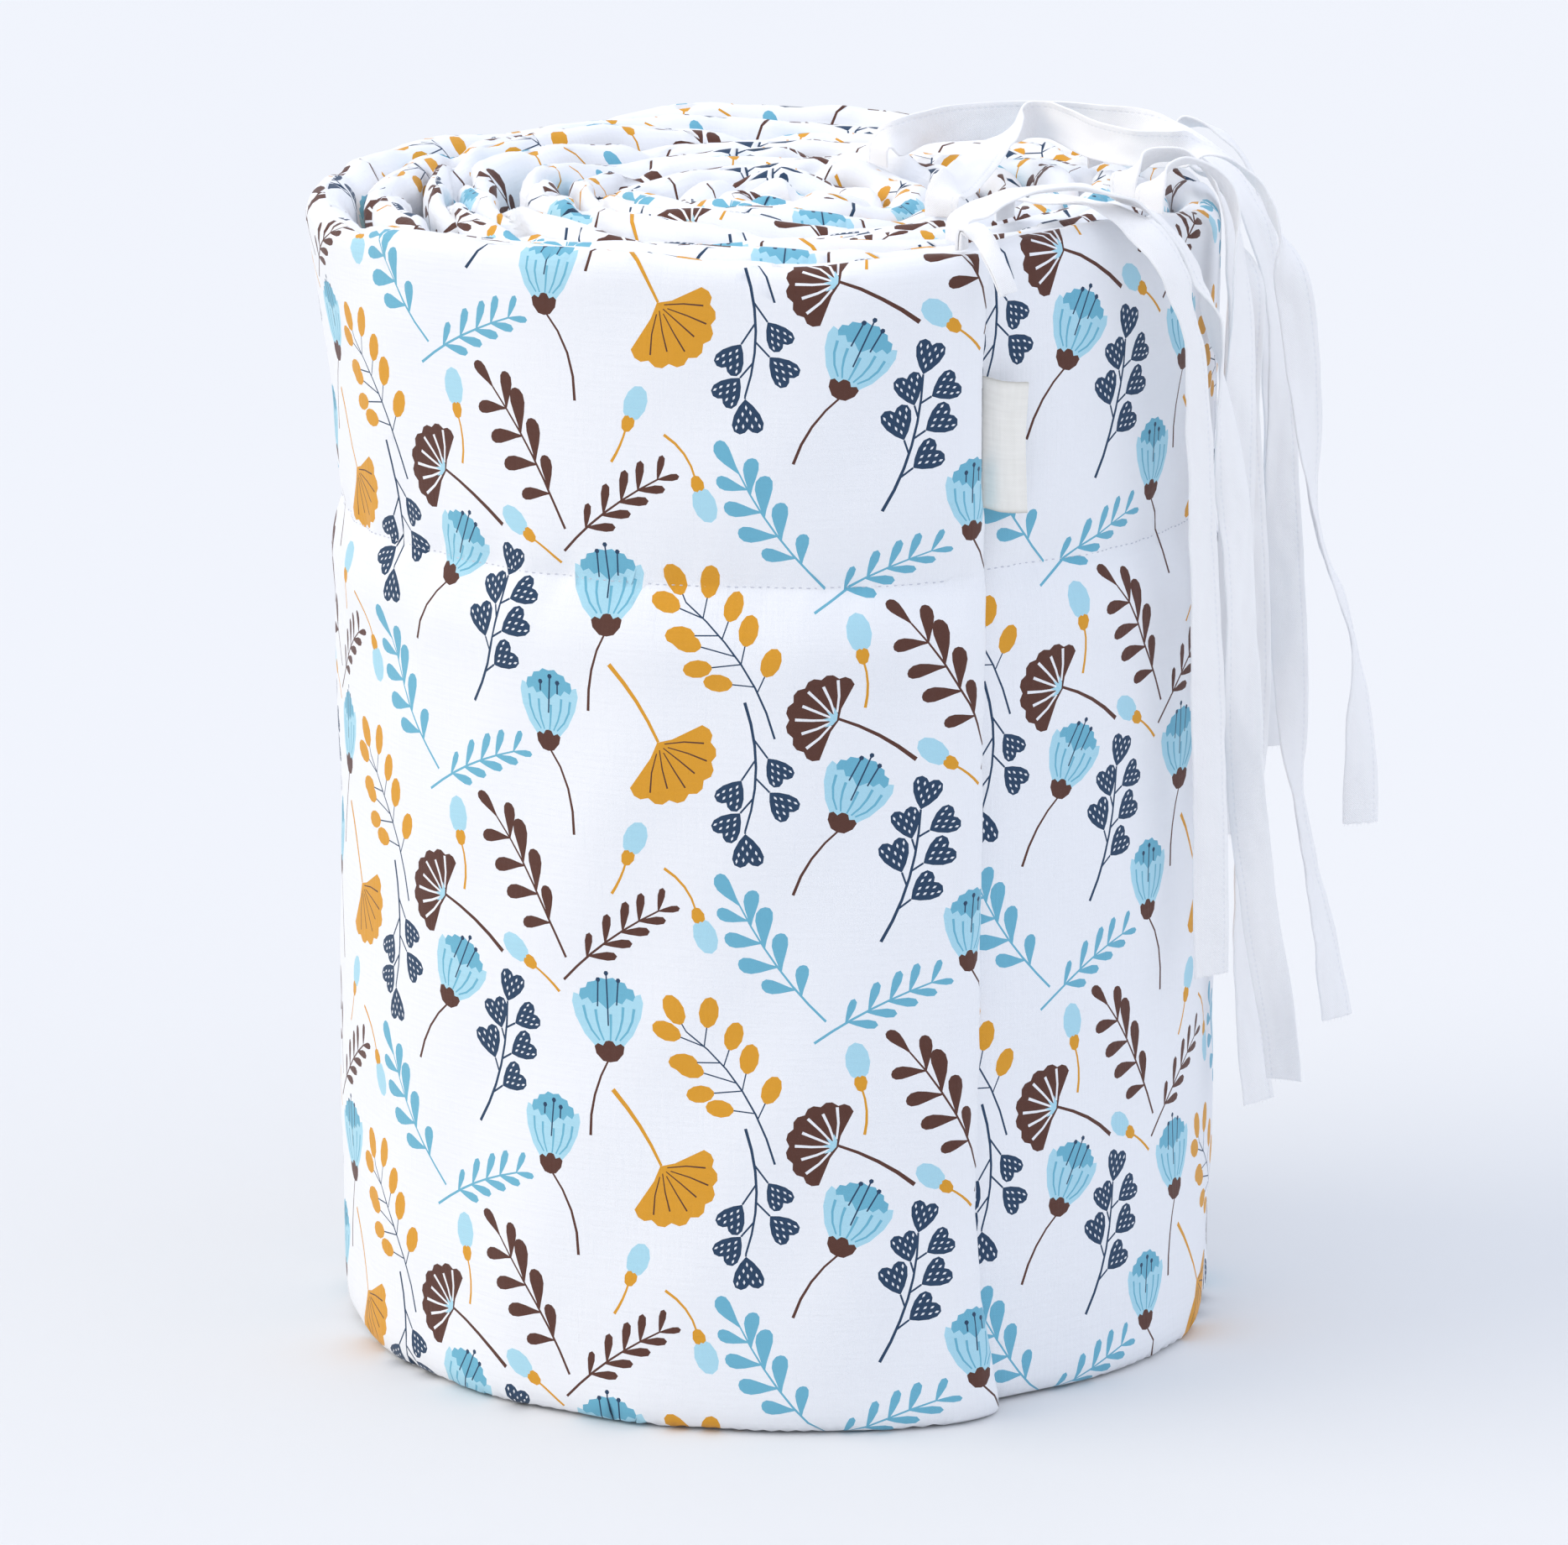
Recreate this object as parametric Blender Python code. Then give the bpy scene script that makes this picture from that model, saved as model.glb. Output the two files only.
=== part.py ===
"""Crib bumper: a long padded strip of printed cotton, rolled up and stood on its long edge.

The strip is two cotton panels sewn together over wadding, with one row of stitching along it,
so it is one filled body wound in a spiral. Cotton tapes sewn in its upper edge are drawn out
of the turns, laid over the top and left to hang at the right, and a woven label is sewn in
the seam of its free end. Metres, +Z up, front towards -Y, base on Z = 0.
"""
import math
from collections import namedtuple

import bmesh
import bpy
from mathutils import Vector

# The padded strip, and the roll that it makes.
STRIP_WIDTH = 0.366          # stands upright, so it is the roll's height
PAD = 0.0138                 # thickness of the filled strip
TURN_PITCH = 0.0152          # from one turn to the next
END_RADIUS = 0.1485          # outer face of the last turn, where the strip ends
END_DEG = -65.0              # direction of the strip's free end, seen from above
CORE_RADIUS = 0.0080         # middle of the strip where the winding starts
STEP_DEG = 12.0              # one section of the strip every so many degrees
ROLL_AXIS = Vector((-0.0190, 0.0042, 0.0))   # puts the origin under the middle of the whole

# The section of the strip, from its lower edge to its upper one.
SectionRow = namedtuple("SectionRow", "height half")      # half: share of PAD / 2
SECTION = (
    SectionRow(0.0000, 0.36),    # flat where it stands
    SectionRow(0.0022, 0.78),
    SectionRow(0.0080, 1.00),
    SectionRow(0.2400, 1.00),
    SectionRow(0.2665, 0.66),    # drawn in by the row of stitching
    SectionRow(0.2930, 1.00),
    SectionRow(0.3575, 0.98),
    SectionRow(0.3636, 0.74),
    SectionRow(0.3660, 0.24),    # crest, with the closing seam
)
STITCH_HEIGHT = 0.2665

# The free end: the filling thins out towards its seam, which hugs the turn below.
EndRow = namedtuple("EndRow", "back thickness")           # back: distance from the seam
FREE_END = (EndRow(0.0000, 0.34), EndRow(0.0030, 0.64), EndRow(0.0090, 0.90),
            EndRow(0.0180, 1.00))
# The seam isn't quite upright: how far it lies past its nominal place, by height.
SeamRow = namedtuple("SeamRow", "height past")
SEAM = (
    SeamRow(0.0000, 0.0090), SeamRow(0.0365, 0.0018), SeamRow(0.0666, -0.0010),
    SeamRow(0.1335, 0.0000), SeamRow(0.2284, 0.0008), SeamRow(0.2665, 0.0020),
    SeamRow(0.3000, -0.0004), SeamRow(0.3280, -0.0010), SeamRow(0.3660, 0.0022),
)
SEAM_REACH = 0.030           # the slant of the seam fades out over this length

# Unevenness of the upper edge: waves in its height and in how far it leans out or in.
WaveRow = namedtuple("WaveRow", "size per_turn drift phase")
RISE = (WaveRow(0.0020, 2.0, 0.9, 0.4), WaveRow(0.0014, 5.0, 1.7, 2.0))
LEAN = (WaveRow(0.0014, 2.0, 0.35, 1.1), WaveRow(0.0007, 5.0, 0.5, 0.2))
LOOSE = 0.0108               # how far the last turn's crest stands out at its loosest side
CORE_DROP = 0.004            # the innermost turns sit a little lower at the top

# The tapes, each sewn in the crest of a turn (0 is the outermost) and led through its stations:
# x, y from the roll's axis and z above the base, the heading of its width seen from above,
# and how far its width tips up.
TAPE_WIDTH = 0.0122
TAPE_THICK = 0.0011
SEWN_GAP = 0.00045           # clearance where a sewn piece leaves the strip
DRAPE_GAP = 0.0025           # clearance of the draped tapes from the roll
TAPE_RISE = 0.006            # a tape first stands up from its seam
TAPE_STEP = 0.0070           # one section of a tape every so far along its route
ROUTE_STEPS = 12             # points between two stations from which the even steps are taken
BEND_ROUNDS = 30
TABLE_PULL = 0.06            # how firmly a tape keeps to its stations' headings
FREE_RADIUS = 0.020          # bends tighter than this are over the flat side alone
Station = namedtuple("Station", "x y z heading tip")
Tape = namedtuple("Tape", "turn deg stations")
TAPES = {
    "tie_1": Tape(1, -67, (
        Station(0.0540, -0.1155, 0.3755, 0, 0), Station(0.0610, -0.1115, 0.3790, -30, 0),
        Station(0.0690, -0.1070, 0.3812, -50, 4), Station(0.0800, -0.1010, 0.3818, -62, 6),
        Station(0.0925, -0.0945, 0.3798, -70, 6), Station(0.1043, -0.0880, 0.3745, -82, 4),
        Station(0.1150, -0.0830, 0.3655, -94, 0), Station(0.1240, -0.0785, 0.3510, -108, 0),
        Station(0.1305, -0.0735, 0.3300, -124, 0), Station(0.1370, -0.0690, 0.2800, -136, 0),
        Station(0.1405, -0.0685, 0.2300, -146, 0), Station(0.1420, -0.0670, 0.1900, -152, 0),
        Station(0.1480, -0.0560, 0.1420, -158, 0), Station(0.1548, -0.0450, 0.1050, -162, 0),
        Station(0.1572, -0.0410, 0.0839, -162, 0))),
    "tie_2": Tape(2, -48, (
        Station(0.0725, -0.0770, 0.3735, 48, 6), Station(0.0800, -0.0810, 0.3745, 58, 14),
        Station(0.0900, -0.0862, 0.3742, 62, 18), Station(0.1000, -0.0918, 0.3715, 60, 14),
        Station(0.1095, -0.0970, 0.3650, 56, 4), Station(0.1180, -0.0985, 0.3520, 50, 0),
        Station(0.1235, -0.0930, 0.3250, 42, 0),
        Station(0.1275, -0.0860, 0.2700, 38, 0), Station(0.1300, -0.0780, 0.2000, 30, 0),
        Station(0.1322, -0.0700, 0.1258, 20, 0))),
    "tie_3": Tape(3, -56, (
        Station(0.0500, -0.0630, 0.3750, 2, 0), Station(0.0555, -0.0430, 0.3765, -8, 0),
        Station(0.0620, -0.0120, 0.3775, -12, 0), Station(0.0690, 0.0150, 0.3785, -14, 12),
        Station(0.0770, 0.0330, 0.3805, 20, 45), Station(0.0860, 0.0250, 0.3800, 80, 66),
        Station(0.0950, 0.0060, 0.3785, 84, 64), Station(0.1080, -0.0090, 0.3780, 82, 58),
        Station(0.1210, -0.0140, 0.3785, 78, 40), Station(0.1345, -0.0130, 0.3775, 74, 14),
        Station(0.1485, -0.0100, 0.3640, 64, 0), Station(0.1580, -0.0085, 0.3360, 34, 0),
        Station(0.1625, -0.0120, 0.3020, 22, 0), Station(0.1670, -0.0160, 0.2600, 62, 0),
        Station(0.1778, -0.0180, 0.2240, 80, 0), Station(0.1812, -0.0180, 0.1900, 22, 0),
        Station(0.1817, -0.0180, 0.1623, 6, 0))),
    "tie_4": Tape(6, 45, (
        Station(0.0345, 0.0320, 0.3745, 120, 30), Station(0.0446, 0.0420, 0.3765, 108, 34),
        Station(0.0578, 0.0480, 0.3770, 98, 34), Station(0.0700, 0.0520, 0.3770, 90, 32),
        Station(0.0829, 0.0540, 0.3770, 86, 30), Station(0.0965, 0.0510, 0.3765, 82, 30),
        Station(0.1100, 0.0420, 0.3765, 76, 28), Station(0.1240, 0.0290, 0.3750, 70, 20),
        Station(0.1370, 0.0190, 0.3680, 66, 8), Station(0.1480, 0.0130, 0.3500, 60, 0),
        Station(0.1545, 0.0120, 0.3180, 44, 0), Station(0.1580, 0.0110, 0.2500, 14, 0),
        Station(0.1620, 0.0040, 0.1800, 30, 0), Station(0.1665, 0.0010, 0.1480, 74, 0),
        Station(0.1725, -0.0020, 0.1180, 30, 0), Station(0.1761, -0.0040, 0.0941, 14, 0))),
    "tie_5": Tape(2, 12, (
        Station(0.1040, 0.0170, 0.3780, 104, 40), Station(0.1150, 0.0090, 0.3790, 92, 34),
        Station(0.1250, 0.0030, 0.3745, 84, 18), Station(0.1345, -0.0050, 0.3580, 76, 0),
        Station(0.1385, -0.0200, 0.3260, 52, 0), Station(0.1430, -0.0270, 0.2800, 22, 0),
        Station(0.1465, -0.0290, 0.2100, 12, 0), Station(0.1440, -0.0290, 0.1500, 40, 0),
        Station(0.1450, -0.0290, 0.1200, 62, 0), Station(0.1500, -0.0300, 0.0735, 10, 0))),
    "tie_6": Tape(1, -24, (
        Station(0.1090, -0.0410, 0.3790, 115, 30), Station(0.1180, -0.0370, 0.3810, 100, 20),
        Station(0.1290, -0.0360, 0.3760, 88, 0), Station(0.1370, -0.0370, 0.3560, 66, 0),
        Station(0.1400, -0.0380, 0.3000, 40, 0), Station(0.1400, -0.0380, 0.2200, 20, 0),
        Station(0.1385, -0.0385, 0.1640, 12, 0))),
    "tie_7": Tape(0, 21, (
        Station(0.1270, 0.0480, 0.3770, 104, 40), Station(0.1380, 0.0460, 0.3740, 92, 20),
        Station(0.1480, 0.0430, 0.3600, 80, 0), Station(0.1540, 0.0390, 0.3360, 60, 0),
        Station(0.1570, 0.0360, 0.3000, 30, 0), Station(0.1585, 0.0340, 0.2400, 14, 0),
        Station(0.1572, 0.0330, 0.1755, 10, 0))),
    "tie_8": Tape(0, -30, (
        Station(0.1130, -0.0610, 0.3775, 46, 20), Station(0.1190, -0.0570, 0.3820, 60, 22),
        Station(0.1270, -0.0545, 0.3815, 70, 12), Station(0.1345, -0.0530, 0.3740, 68, 0),
        Station(0.1385, -0.0530, 0.3600, 56, 0), Station(0.1400, -0.0540, 0.3300, 40, 0),
        Station(0.1390, -0.0560, 0.2900, 26, 0), Station(0.1385, -0.0560, 0.2300, 20, 0),
        Station(0.1385, -0.0550, 0.1753, 14, 0))),
}

# The short end of tape folded over the top corner of the free end.
TAB_WIDTH = 0.0068
CORNER_TAB = Tape(0, -69.0, (
    Station(0.0555, -0.1345, 0.3715, 14, 10), Station(0.0592, -0.1410, 0.3690, 22, 26),
    Station(0.0626, -0.1445, 0.3630, 24, 32), Station(0.0648, -0.1456, 0.3570, 24, 32)))

# The woven label, sewn upright in the seam of the free end.
LabelRow = namedtuple("LabelRow", "deg radius")
LABEL = (LabelRow(-64.55, 0.1376), LabelRow(-63.0, 0.1402), LabelRow(-61.2, 0.1404),
         LabelRow(-59.3, 0.1390))
LABEL_LOW, LABEL_HIGH = 0.2875, 0.3280
LABEL_THICK = 0.0010

COLOURS = {
    "bumper_roll": (0.86, 0.87, 0.90, 1.0),
    "tie": (0.90, 0.91, 0.93, 1.0),
    "label": (0.84, 0.80, 0.76, 1.0),
}


def lerp_table(rows, at, value):
    """Read a column of a table between its rows; rows run upwards in their first column."""
    for low, high in zip(rows, rows[1:]):
        if at <= high[0]:
            share = max(0.0, (at - low[0]) / (high[0] - low[0]))
            return getattr(low, value) + share * (getattr(high, value) - getattr(low, value))
    return getattr(rows[-1], value)


def wave(rows, wound):
    """Sum of the waves along the strip; wound is the angle from the free end inwards."""
    turns = wound / 360
    return sum(row.size * math.sin(2 * math.pi * row.per_turn * turns + row.drift * turns
                                   + row.phase) for row in rows)


def middle_radius(wound):
    """Radius of the strip's middle after so many degrees from its free end."""
    return END_RADIUS - PAD / 2 - TURN_PITCH * wound / 360


def last_wound():
    """How far the strip is wound in all, in whole steps."""
    whole = (END_RADIUS - PAD / 2 - CORE_RADIUS) / TURN_PITCH * 360
    return math.floor(whole / STEP_DEG) * STEP_DEG


def lean_at(wound):
    """How far the strip's upper edge leans out there; the turns lie loosest on the left."""
    loosest = max(0.0, -math.cos(math.radians(END_DEG - wound))) ** 2
    return wave(LEAN, wound) + LOOSE * loosest * middle_radius(wound) / END_RADIUS


def crest_height(wound):
    """Height of the strip's upper edge there."""
    inwards = wound / last_wound()
    return STRIP_WIDTH + wave(RISE, wound) - CORE_DROP * inwards ** 3


def crest_of_sections(wound):
    """Height of the straight edge between the two sections on either side."""
    before = math.floor(wound / STEP_DEG) * STEP_DEG
    share = (wound - before) / STEP_DEG
    return (1 - share) * crest_height(before) + share * crest_height(before + STEP_DEG)


def wound_at(turn, deg):
    """Degrees from the free end to a direction, on one of the turns."""
    return 360 * turn + (END_DEG - deg) % 360


def on_roll(deg, radius, z):
    """A place given from the roll's axis."""
    angle = math.radians(deg)
    return ROLL_AXIS + Vector((radius * math.cos(angle), radius * math.sin(angle), z))


def strip_section(wound, thickness, past_share):
    """One closed section of the strip: up its outer face, and down its inner one."""
    middle = middle_radius(wound) - (1 - thickness) * PAD * 0.28
    rise = crest_height(wound) - STRIP_WIDTH
    lean = lean_at(wound)
    sides = ([], [])
    for row in SECTION:
        upper = max(0.0, (row.height - STITCH_HEIGHT) / (STRIP_WIDTH - STITCH_HEIGHT))
        past = past_share * lerp_table(SEAM, row.height, "past")
        deg = END_DEG - wound + math.degrees(past / END_RADIUS)
        for side, points in zip((1, -1), sides):
            radius = middle + lean * upper ** 2 + side * row.half * thickness * PAD / 2
            points.append(on_roll(deg, radius, row.height + rise * upper ** 2))
    return sides[0] + sides[1][::-1]


def strip_sections():
    """Every section, from the free end to the core."""
    stations = [(math.degrees(row.back / END_RADIUS), row.thickness) for row in FREE_END]
    wound = STEP_DEG
    while wound <= last_wound():
        stations.append((wound, 1.0))
        wound += STEP_DEG
    stations.append((last_wound() + 8.0, 0.55))      # the sewn end inside the core
    sections = []
    for wound, thickness in stations:
        back = math.radians(wound) * END_RADIUS
        sections.append(strip_section(wound, thickness, max(0.0, 1 - back / SEAM_REACH)))
    return sections


def clear_of_roll(place):
    """Push a point of a draped tape out until it clears the roll's rounded outline."""
    place = place - ROLL_AXIS
    radius = math.hypot(place.x, place.y)
    wound = wound_at(0, math.degrees(math.atan2(place.y, place.x)))
    rim = PAD / 2
    over = radius - (middle_radius(wound) + lean_at(wound))
    above = place.z - (crest_height(wound) - rim)
    needed = rim + DRAPE_GAP + TAPE_THICK / 2
    if over <= 0:
        place.z += max(0.0, needed - above)
    else:
        reach = math.hypot(over, max(0.0, above))
        if reach < needed:
            grow = needed / reach
            place.z += (grow - 1) * max(0.0, above)
            outwards = 1 + (grow - 1) * over / radius
            place.x *= outwards
            place.y *= outwards
    return place + ROLL_AXIS


def spline(values, steps):
    """A smooth row of values through the given ones."""
    padded = [values[0]] + list(values) + [values[-1]]
    line = []
    for a, b, c, d in zip(padded, padded[1:], padded[2:], padded[3:]):
        for step in range(steps):
            t = step / steps
            line.append(b + 0.5 * t * (c - a + t * (2 * a - 5 * b + 4 * c - d
                                                    + t * (3 * (b - c) + d - a))))
    return line + [values[-1]]


def square_to(across, along):
    """The part of a width that lies square to the route, at unit length."""
    return (across - across.dot(along) * along).normalized()


def heading_vector(heading, tip):
    """Direction of a tape's width from its heading and tip, in degrees."""
    turn, tilt = math.radians(heading), math.radians(tip)
    return Vector((math.cos(turn) * math.cos(tilt), math.sin(turn) * math.cos(tilt),
                   math.sin(tilt)))


def evenly(knots, widths):
    """The route through the knots at even steps, with the widths that belong there."""
    fine_route, fine_widths = spline(knots, ROUTE_STEPS), spline(widths, ROUTE_STEPS)
    gone = [0.0]
    for a, b in zip(fine_route, fine_route[1:]):
        gone.append(gone[-1] + (b - a).length)
    count = round(gone[-1] / TAPE_STEP)
    route, across, k = [], [], 0
    for i in range(count + 1):
        at = gone[-1] * i / count
        while k < len(gone) - 2 and gone[k + 1] < at:
            k += 1
        share = (at - gone[k]) / (gone[k + 1] - gone[k])
        route.append(fine_route[k].lerp(fine_route[k + 1], share))
        across.append(fine_widths[k].lerp(fine_widths[k + 1], share))
    return route, across


def direction_at(route, i):
    return (route[min(i + 1, len(route) - 1)] - route[max(i - 1, 0)]).normalized()


def flat_bends(route, wanted):
    """Turn the widths so that the tape bends over its flat side, as cloth does, not edgeways."""
    widths = list(wanted)
    for _ in range(BEND_ROUNDS):
        settled = []
        for i, width in enumerate(widths):
            before, after = widths[max(i - 1, 0)], widths[min(i + 1, len(widths) - 1)]
            width = 0.5 * width + 0.25 * (before + after) + TABLE_PULL * wanted[i]
            near = min(max(i, 1), len(route) - 2)
            bend = route[near - 1] - 2 * route[near] + route[near + 1]
            if bend.length > 1e-7:
                hold = min(1.0, bend.length / TAPE_STEP ** 2 * FREE_RADIUS)
                aim = bend.normalized()
                width = width - hold * width.dot(aim) * aim
            settled.append(square_to(width, direction_at(route, i)))
        widths = settled
    return widths


def tape_sections(tape, wide=TAPE_WIDTH):
    """Sections of a flat tape, from its seam in the crest along its route."""
    wound = wound_at(tape.turn, tape.deg)
    aside = math.degrees(wide / 2 / middle_radius(wound))
    foot = max(crest_of_sections(wound + part * aside) for part in (-1, -0.5, 0, 0.5, 1))
    root = on_roll(tape.deg, middle_radius(wound) + lean_at(wound), foot + SEWN_GAP)
    knots = [root, root + Vector((0, 0, TAPE_RISE))]
    knots += [ROLL_AXIS + Vector((s.x, s.y, s.z)) for s in tape.stations]
    widths = []
    for i, station in enumerate(tape.stations, start=2):
        along = (knots[min(i + 1, len(knots) - 1)] - knots[i - 1]).normalized()
        widths.append(square_to(heading_vector(station.heading, station.tip), along))
    sewn = heading_vector(tape.deg + 90, 0)
    if sewn.dot(widths[0]) < 0:
        sewn = -sewn
    route, widths = evenly(knots, [sewn, sewn] + widths)
    widths = flat_bends(route, widths)
    for i, width in enumerate(widths):
        if i * TAPE_STEP > TAPE_RISE:
            half = width * wide / 2
            pushes = [clear_of_roll(edge) - edge
                      for edge in (route[i] - half, route[i], route[i] + half)]
            route[i] = route[i] + max(pushes, key=lambda push: push.length)
    sections = []
    for i, (place, width) in enumerate(zip(route, widths)):
        along = direction_at(route, i) if i else Vector((0, 0, 1))
        across = square_to(width, along) * wide / 2
        face = along.cross(across).normalized() * TAPE_THICK / 2
        under, over = place - face, place + face
        sections.append([under - across, under, under + across,
                         over + across, over, over - across])
    return sections


def label_sections():
    """The label is flat upright and curls a little away from the turn behind it."""
    sections = []
    for row in LABEL:
        inner, outer = row.radius - LABEL_THICK / 2, row.radius + LABEL_THICK / 2
        sections.append([on_roll(row.deg, inner, LABEL_LOW), on_roll(row.deg, outer, LABEL_LOW),
                         on_roll(row.deg, outer, LABEL_HIGH), on_roll(row.deg, inner, LABEL_HIGH)])
    return sections


def loft(name, sections, colour, collection):
    """Skin a row of unlike closed sections and close both ends with strips.

    Both faces of a twisted sheet are split along the same diagonals, so that it stays as thick.
    """
    cage = bmesh.new()
    loops = [[cage.verts.new(place) for place in section] for section in sections]
    count = len(loops[0])
    for near, far in zip(loops, loops[1:]):
        for i in range(count):
            j = (i + 1) % count
            if i < count // 2:
                cage.faces.new((near[i], near[j], far[j]))
                cage.faces.new((near[i], far[j], far[i]))
            else:
                cage.faces.new((near[i], near[j], far[i]))
                cage.faces.new((near[j], far[j], far[i]))
    for end in (loops[0], loops[-1]):
        for i in range(count // 2 - 1):
            cage.faces.new((end[i], end[i + 1], end[count - 2 - i], end[count - 1 - i]))
    bmesh.ops.recalc_face_normals(cage, faces=cage.faces)
    mesh = bpy.data.meshes.new(name)
    cage.to_mesh(mesh)
    cage.free()
    mesh.shade_smooth()
    mesh.set_sharp_from_angle(angle=math.radians(50))
    piece = bpy.data.objects.new(name, mesh)
    collection.objects.link(piece)
    material = bpy.data.materials.new(name)
    material.use_nodes = True
    shader = material.node_tree.nodes["Principled BSDF"]
    shader.inputs["Base Color"].default_value = COLOURS[colour]
    shader.inputs["Roughness"].default_value = 0.85
    shader.inputs["Metallic"].default_value = 0.0
    mesh.materials.append(material)
    return piece


for old in list(bpy.data.objects):
    bpy.data.objects.remove(old, do_unlink=True)
bumper = bpy.data.collections.new("crib_bumper")
bpy.context.scene.collection.children.link(bumper)

loft("bumper_roll", strip_sections(), "bumper_roll", bumper)
for tape_name, tape in TAPES.items():
    loft(tape_name, tape_sections(tape), "tie", bumper)
loft("corner_tab", tape_sections(CORNER_TAB, TAB_WIDTH), "tie", bumper)
loft("label", label_sections(), "label", bumper)
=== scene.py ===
"""Crib bumper: a long padded strip of printed cotton rolled up on its long edge, its tapes drawn
out over the top at one side, shown on a plain pale floor."""

import bisect
import math
from collections import namedtuple

import bmesh
import bpy
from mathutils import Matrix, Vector, geometry, noise


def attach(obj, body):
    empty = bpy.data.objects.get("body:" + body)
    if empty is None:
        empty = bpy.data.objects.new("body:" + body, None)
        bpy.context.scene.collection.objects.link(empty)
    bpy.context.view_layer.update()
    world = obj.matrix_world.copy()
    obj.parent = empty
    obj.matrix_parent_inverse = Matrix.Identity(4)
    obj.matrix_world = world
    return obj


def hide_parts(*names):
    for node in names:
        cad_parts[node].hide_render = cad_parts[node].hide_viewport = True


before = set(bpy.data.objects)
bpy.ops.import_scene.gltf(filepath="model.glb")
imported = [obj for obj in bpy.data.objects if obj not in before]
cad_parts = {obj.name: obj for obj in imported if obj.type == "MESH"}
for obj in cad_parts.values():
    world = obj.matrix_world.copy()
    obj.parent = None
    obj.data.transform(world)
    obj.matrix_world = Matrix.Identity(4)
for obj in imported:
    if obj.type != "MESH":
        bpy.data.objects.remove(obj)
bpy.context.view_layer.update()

# --- Camera -----------------------------------------------------------------------------------
# The photograph looks a little down on the roll from straight in front, through a long lens.
CAMERA_PLACE = (-0.0209, -2.6179, 0.8184)
CAMERA_TILT = 76.2           # degrees up from straight down
CAMERA_LENS = 193.5          # millimetres on a frame 36 mm wide

camera_data = bpy.data.cameras.new("camera")
camera_data.lens = CAMERA_LENS
camera_data.sensor_width = 36.0
camera_data.sensor_fit = "HORIZONTAL"
camera_data.clip_end = 50.0
camera = bpy.data.objects.new("camera", camera_data)
camera.location = CAMERA_PLACE
camera.rotation_euler = (math.radians(CAMERA_TILT), 0.0, 0.0)
bpy.context.scene.collection.objects.link(camera)
bpy.context.scene.camera = camera

# --- The padded strip, rolled up ---------------------------------------------------------------
# Two panels of printed cotton sewn together over wadding, with one row of stitching along them,
# wound in a spiral and stood on the long edge. Its shape is worked out on the flat cloth: length
# runs from the free end inwards, run goes up the outer panel, over the crest and down the inner.
STRIP_WIDTH = 0.366          # the roll's height
PAD = 0.0138                 # thickness of the filled strip
TURN_PITCH = 0.0152          # from one turn to the next
TURN_GAP = 0.0003            # least room that each face leaves to the next turn
END_RADIUS = 0.1485          # outer face of the last turn
END_DEG = -65.0              # direction of the free end, seen from above
CORE_RADIUS = 0.0080
CORE_DROP = 0.004            # how much lower the crest lies in the core
STEP_DEG = 12.0              # the solid of the roll has a section every so many degrees
ROLL_AXIS = Vector((-0.0190, 0.0042, 0.0))
COVERED_FROM = 352.0         # from here inwards, in degrees, a turn lies over the outer face
SHOWS_TO = 372.0             # up to here the outer face shows all over
STITCH_HEIGHT = 0.2665
STITCH_REACH = 0.0265        # the filling is drawn in this far above and below the stitching
STITCH_PINCH = 0.36          # and by this share of its thickness
CREST_RADIUS = 0.0085
FOOT_RADIUS = 0.0080
FOOT_SHARE = 0.36            # thickness of the strip where it stands, as a share of the pad's
END_REACH = 0.0160           # the filling thins out this far from the free end
SEAM_REACH = 0.030           # the uneven line of the free end is gone this far from it
INNER_REACH = 0.010          # the filling thins out this far from the inner end

SeamRow = namedtuple("SeamRow", "height past")            # how far the free end lies past its place
SEAM = (
    SeamRow(0.0000, 0.0090), SeamRow(0.0365, 0.0018), SeamRow(0.0666, -0.0010),
    SeamRow(0.1335, 0.0000), SeamRow(0.2284, 0.0008), SeamRow(0.2665, 0.0020),
    SeamRow(0.3000, -0.0004), SeamRow(0.3280, -0.0010), SeamRow(0.3660, 0.0022),
)
WaveRow = namedtuple("WaveRow", "size per_turn drift phase")
RISE = (WaveRow(0.0020, 2.0, 0.9, 0.4), WaveRow(0.0014, 5.0, 1.7, 2.0))
LEAN = (WaveRow(0.0014, 2.0, 0.35, 1.1), WaveRow(0.0007, 5.0, 0.5, 0.2))
LOOSE = 0.0108               # how far the last turn's crest stands out at its loosest side
BUNCH_PITCH = 0.043          # near the crest the turns bunch up: from one bunch to the next
BUNCHED = 0.0009             # how far they move for it
BUNCHED_MORE = 0.0022        # and how much farther on the left
BUNCHED_DEG = 172.0          # in this direction most

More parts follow.
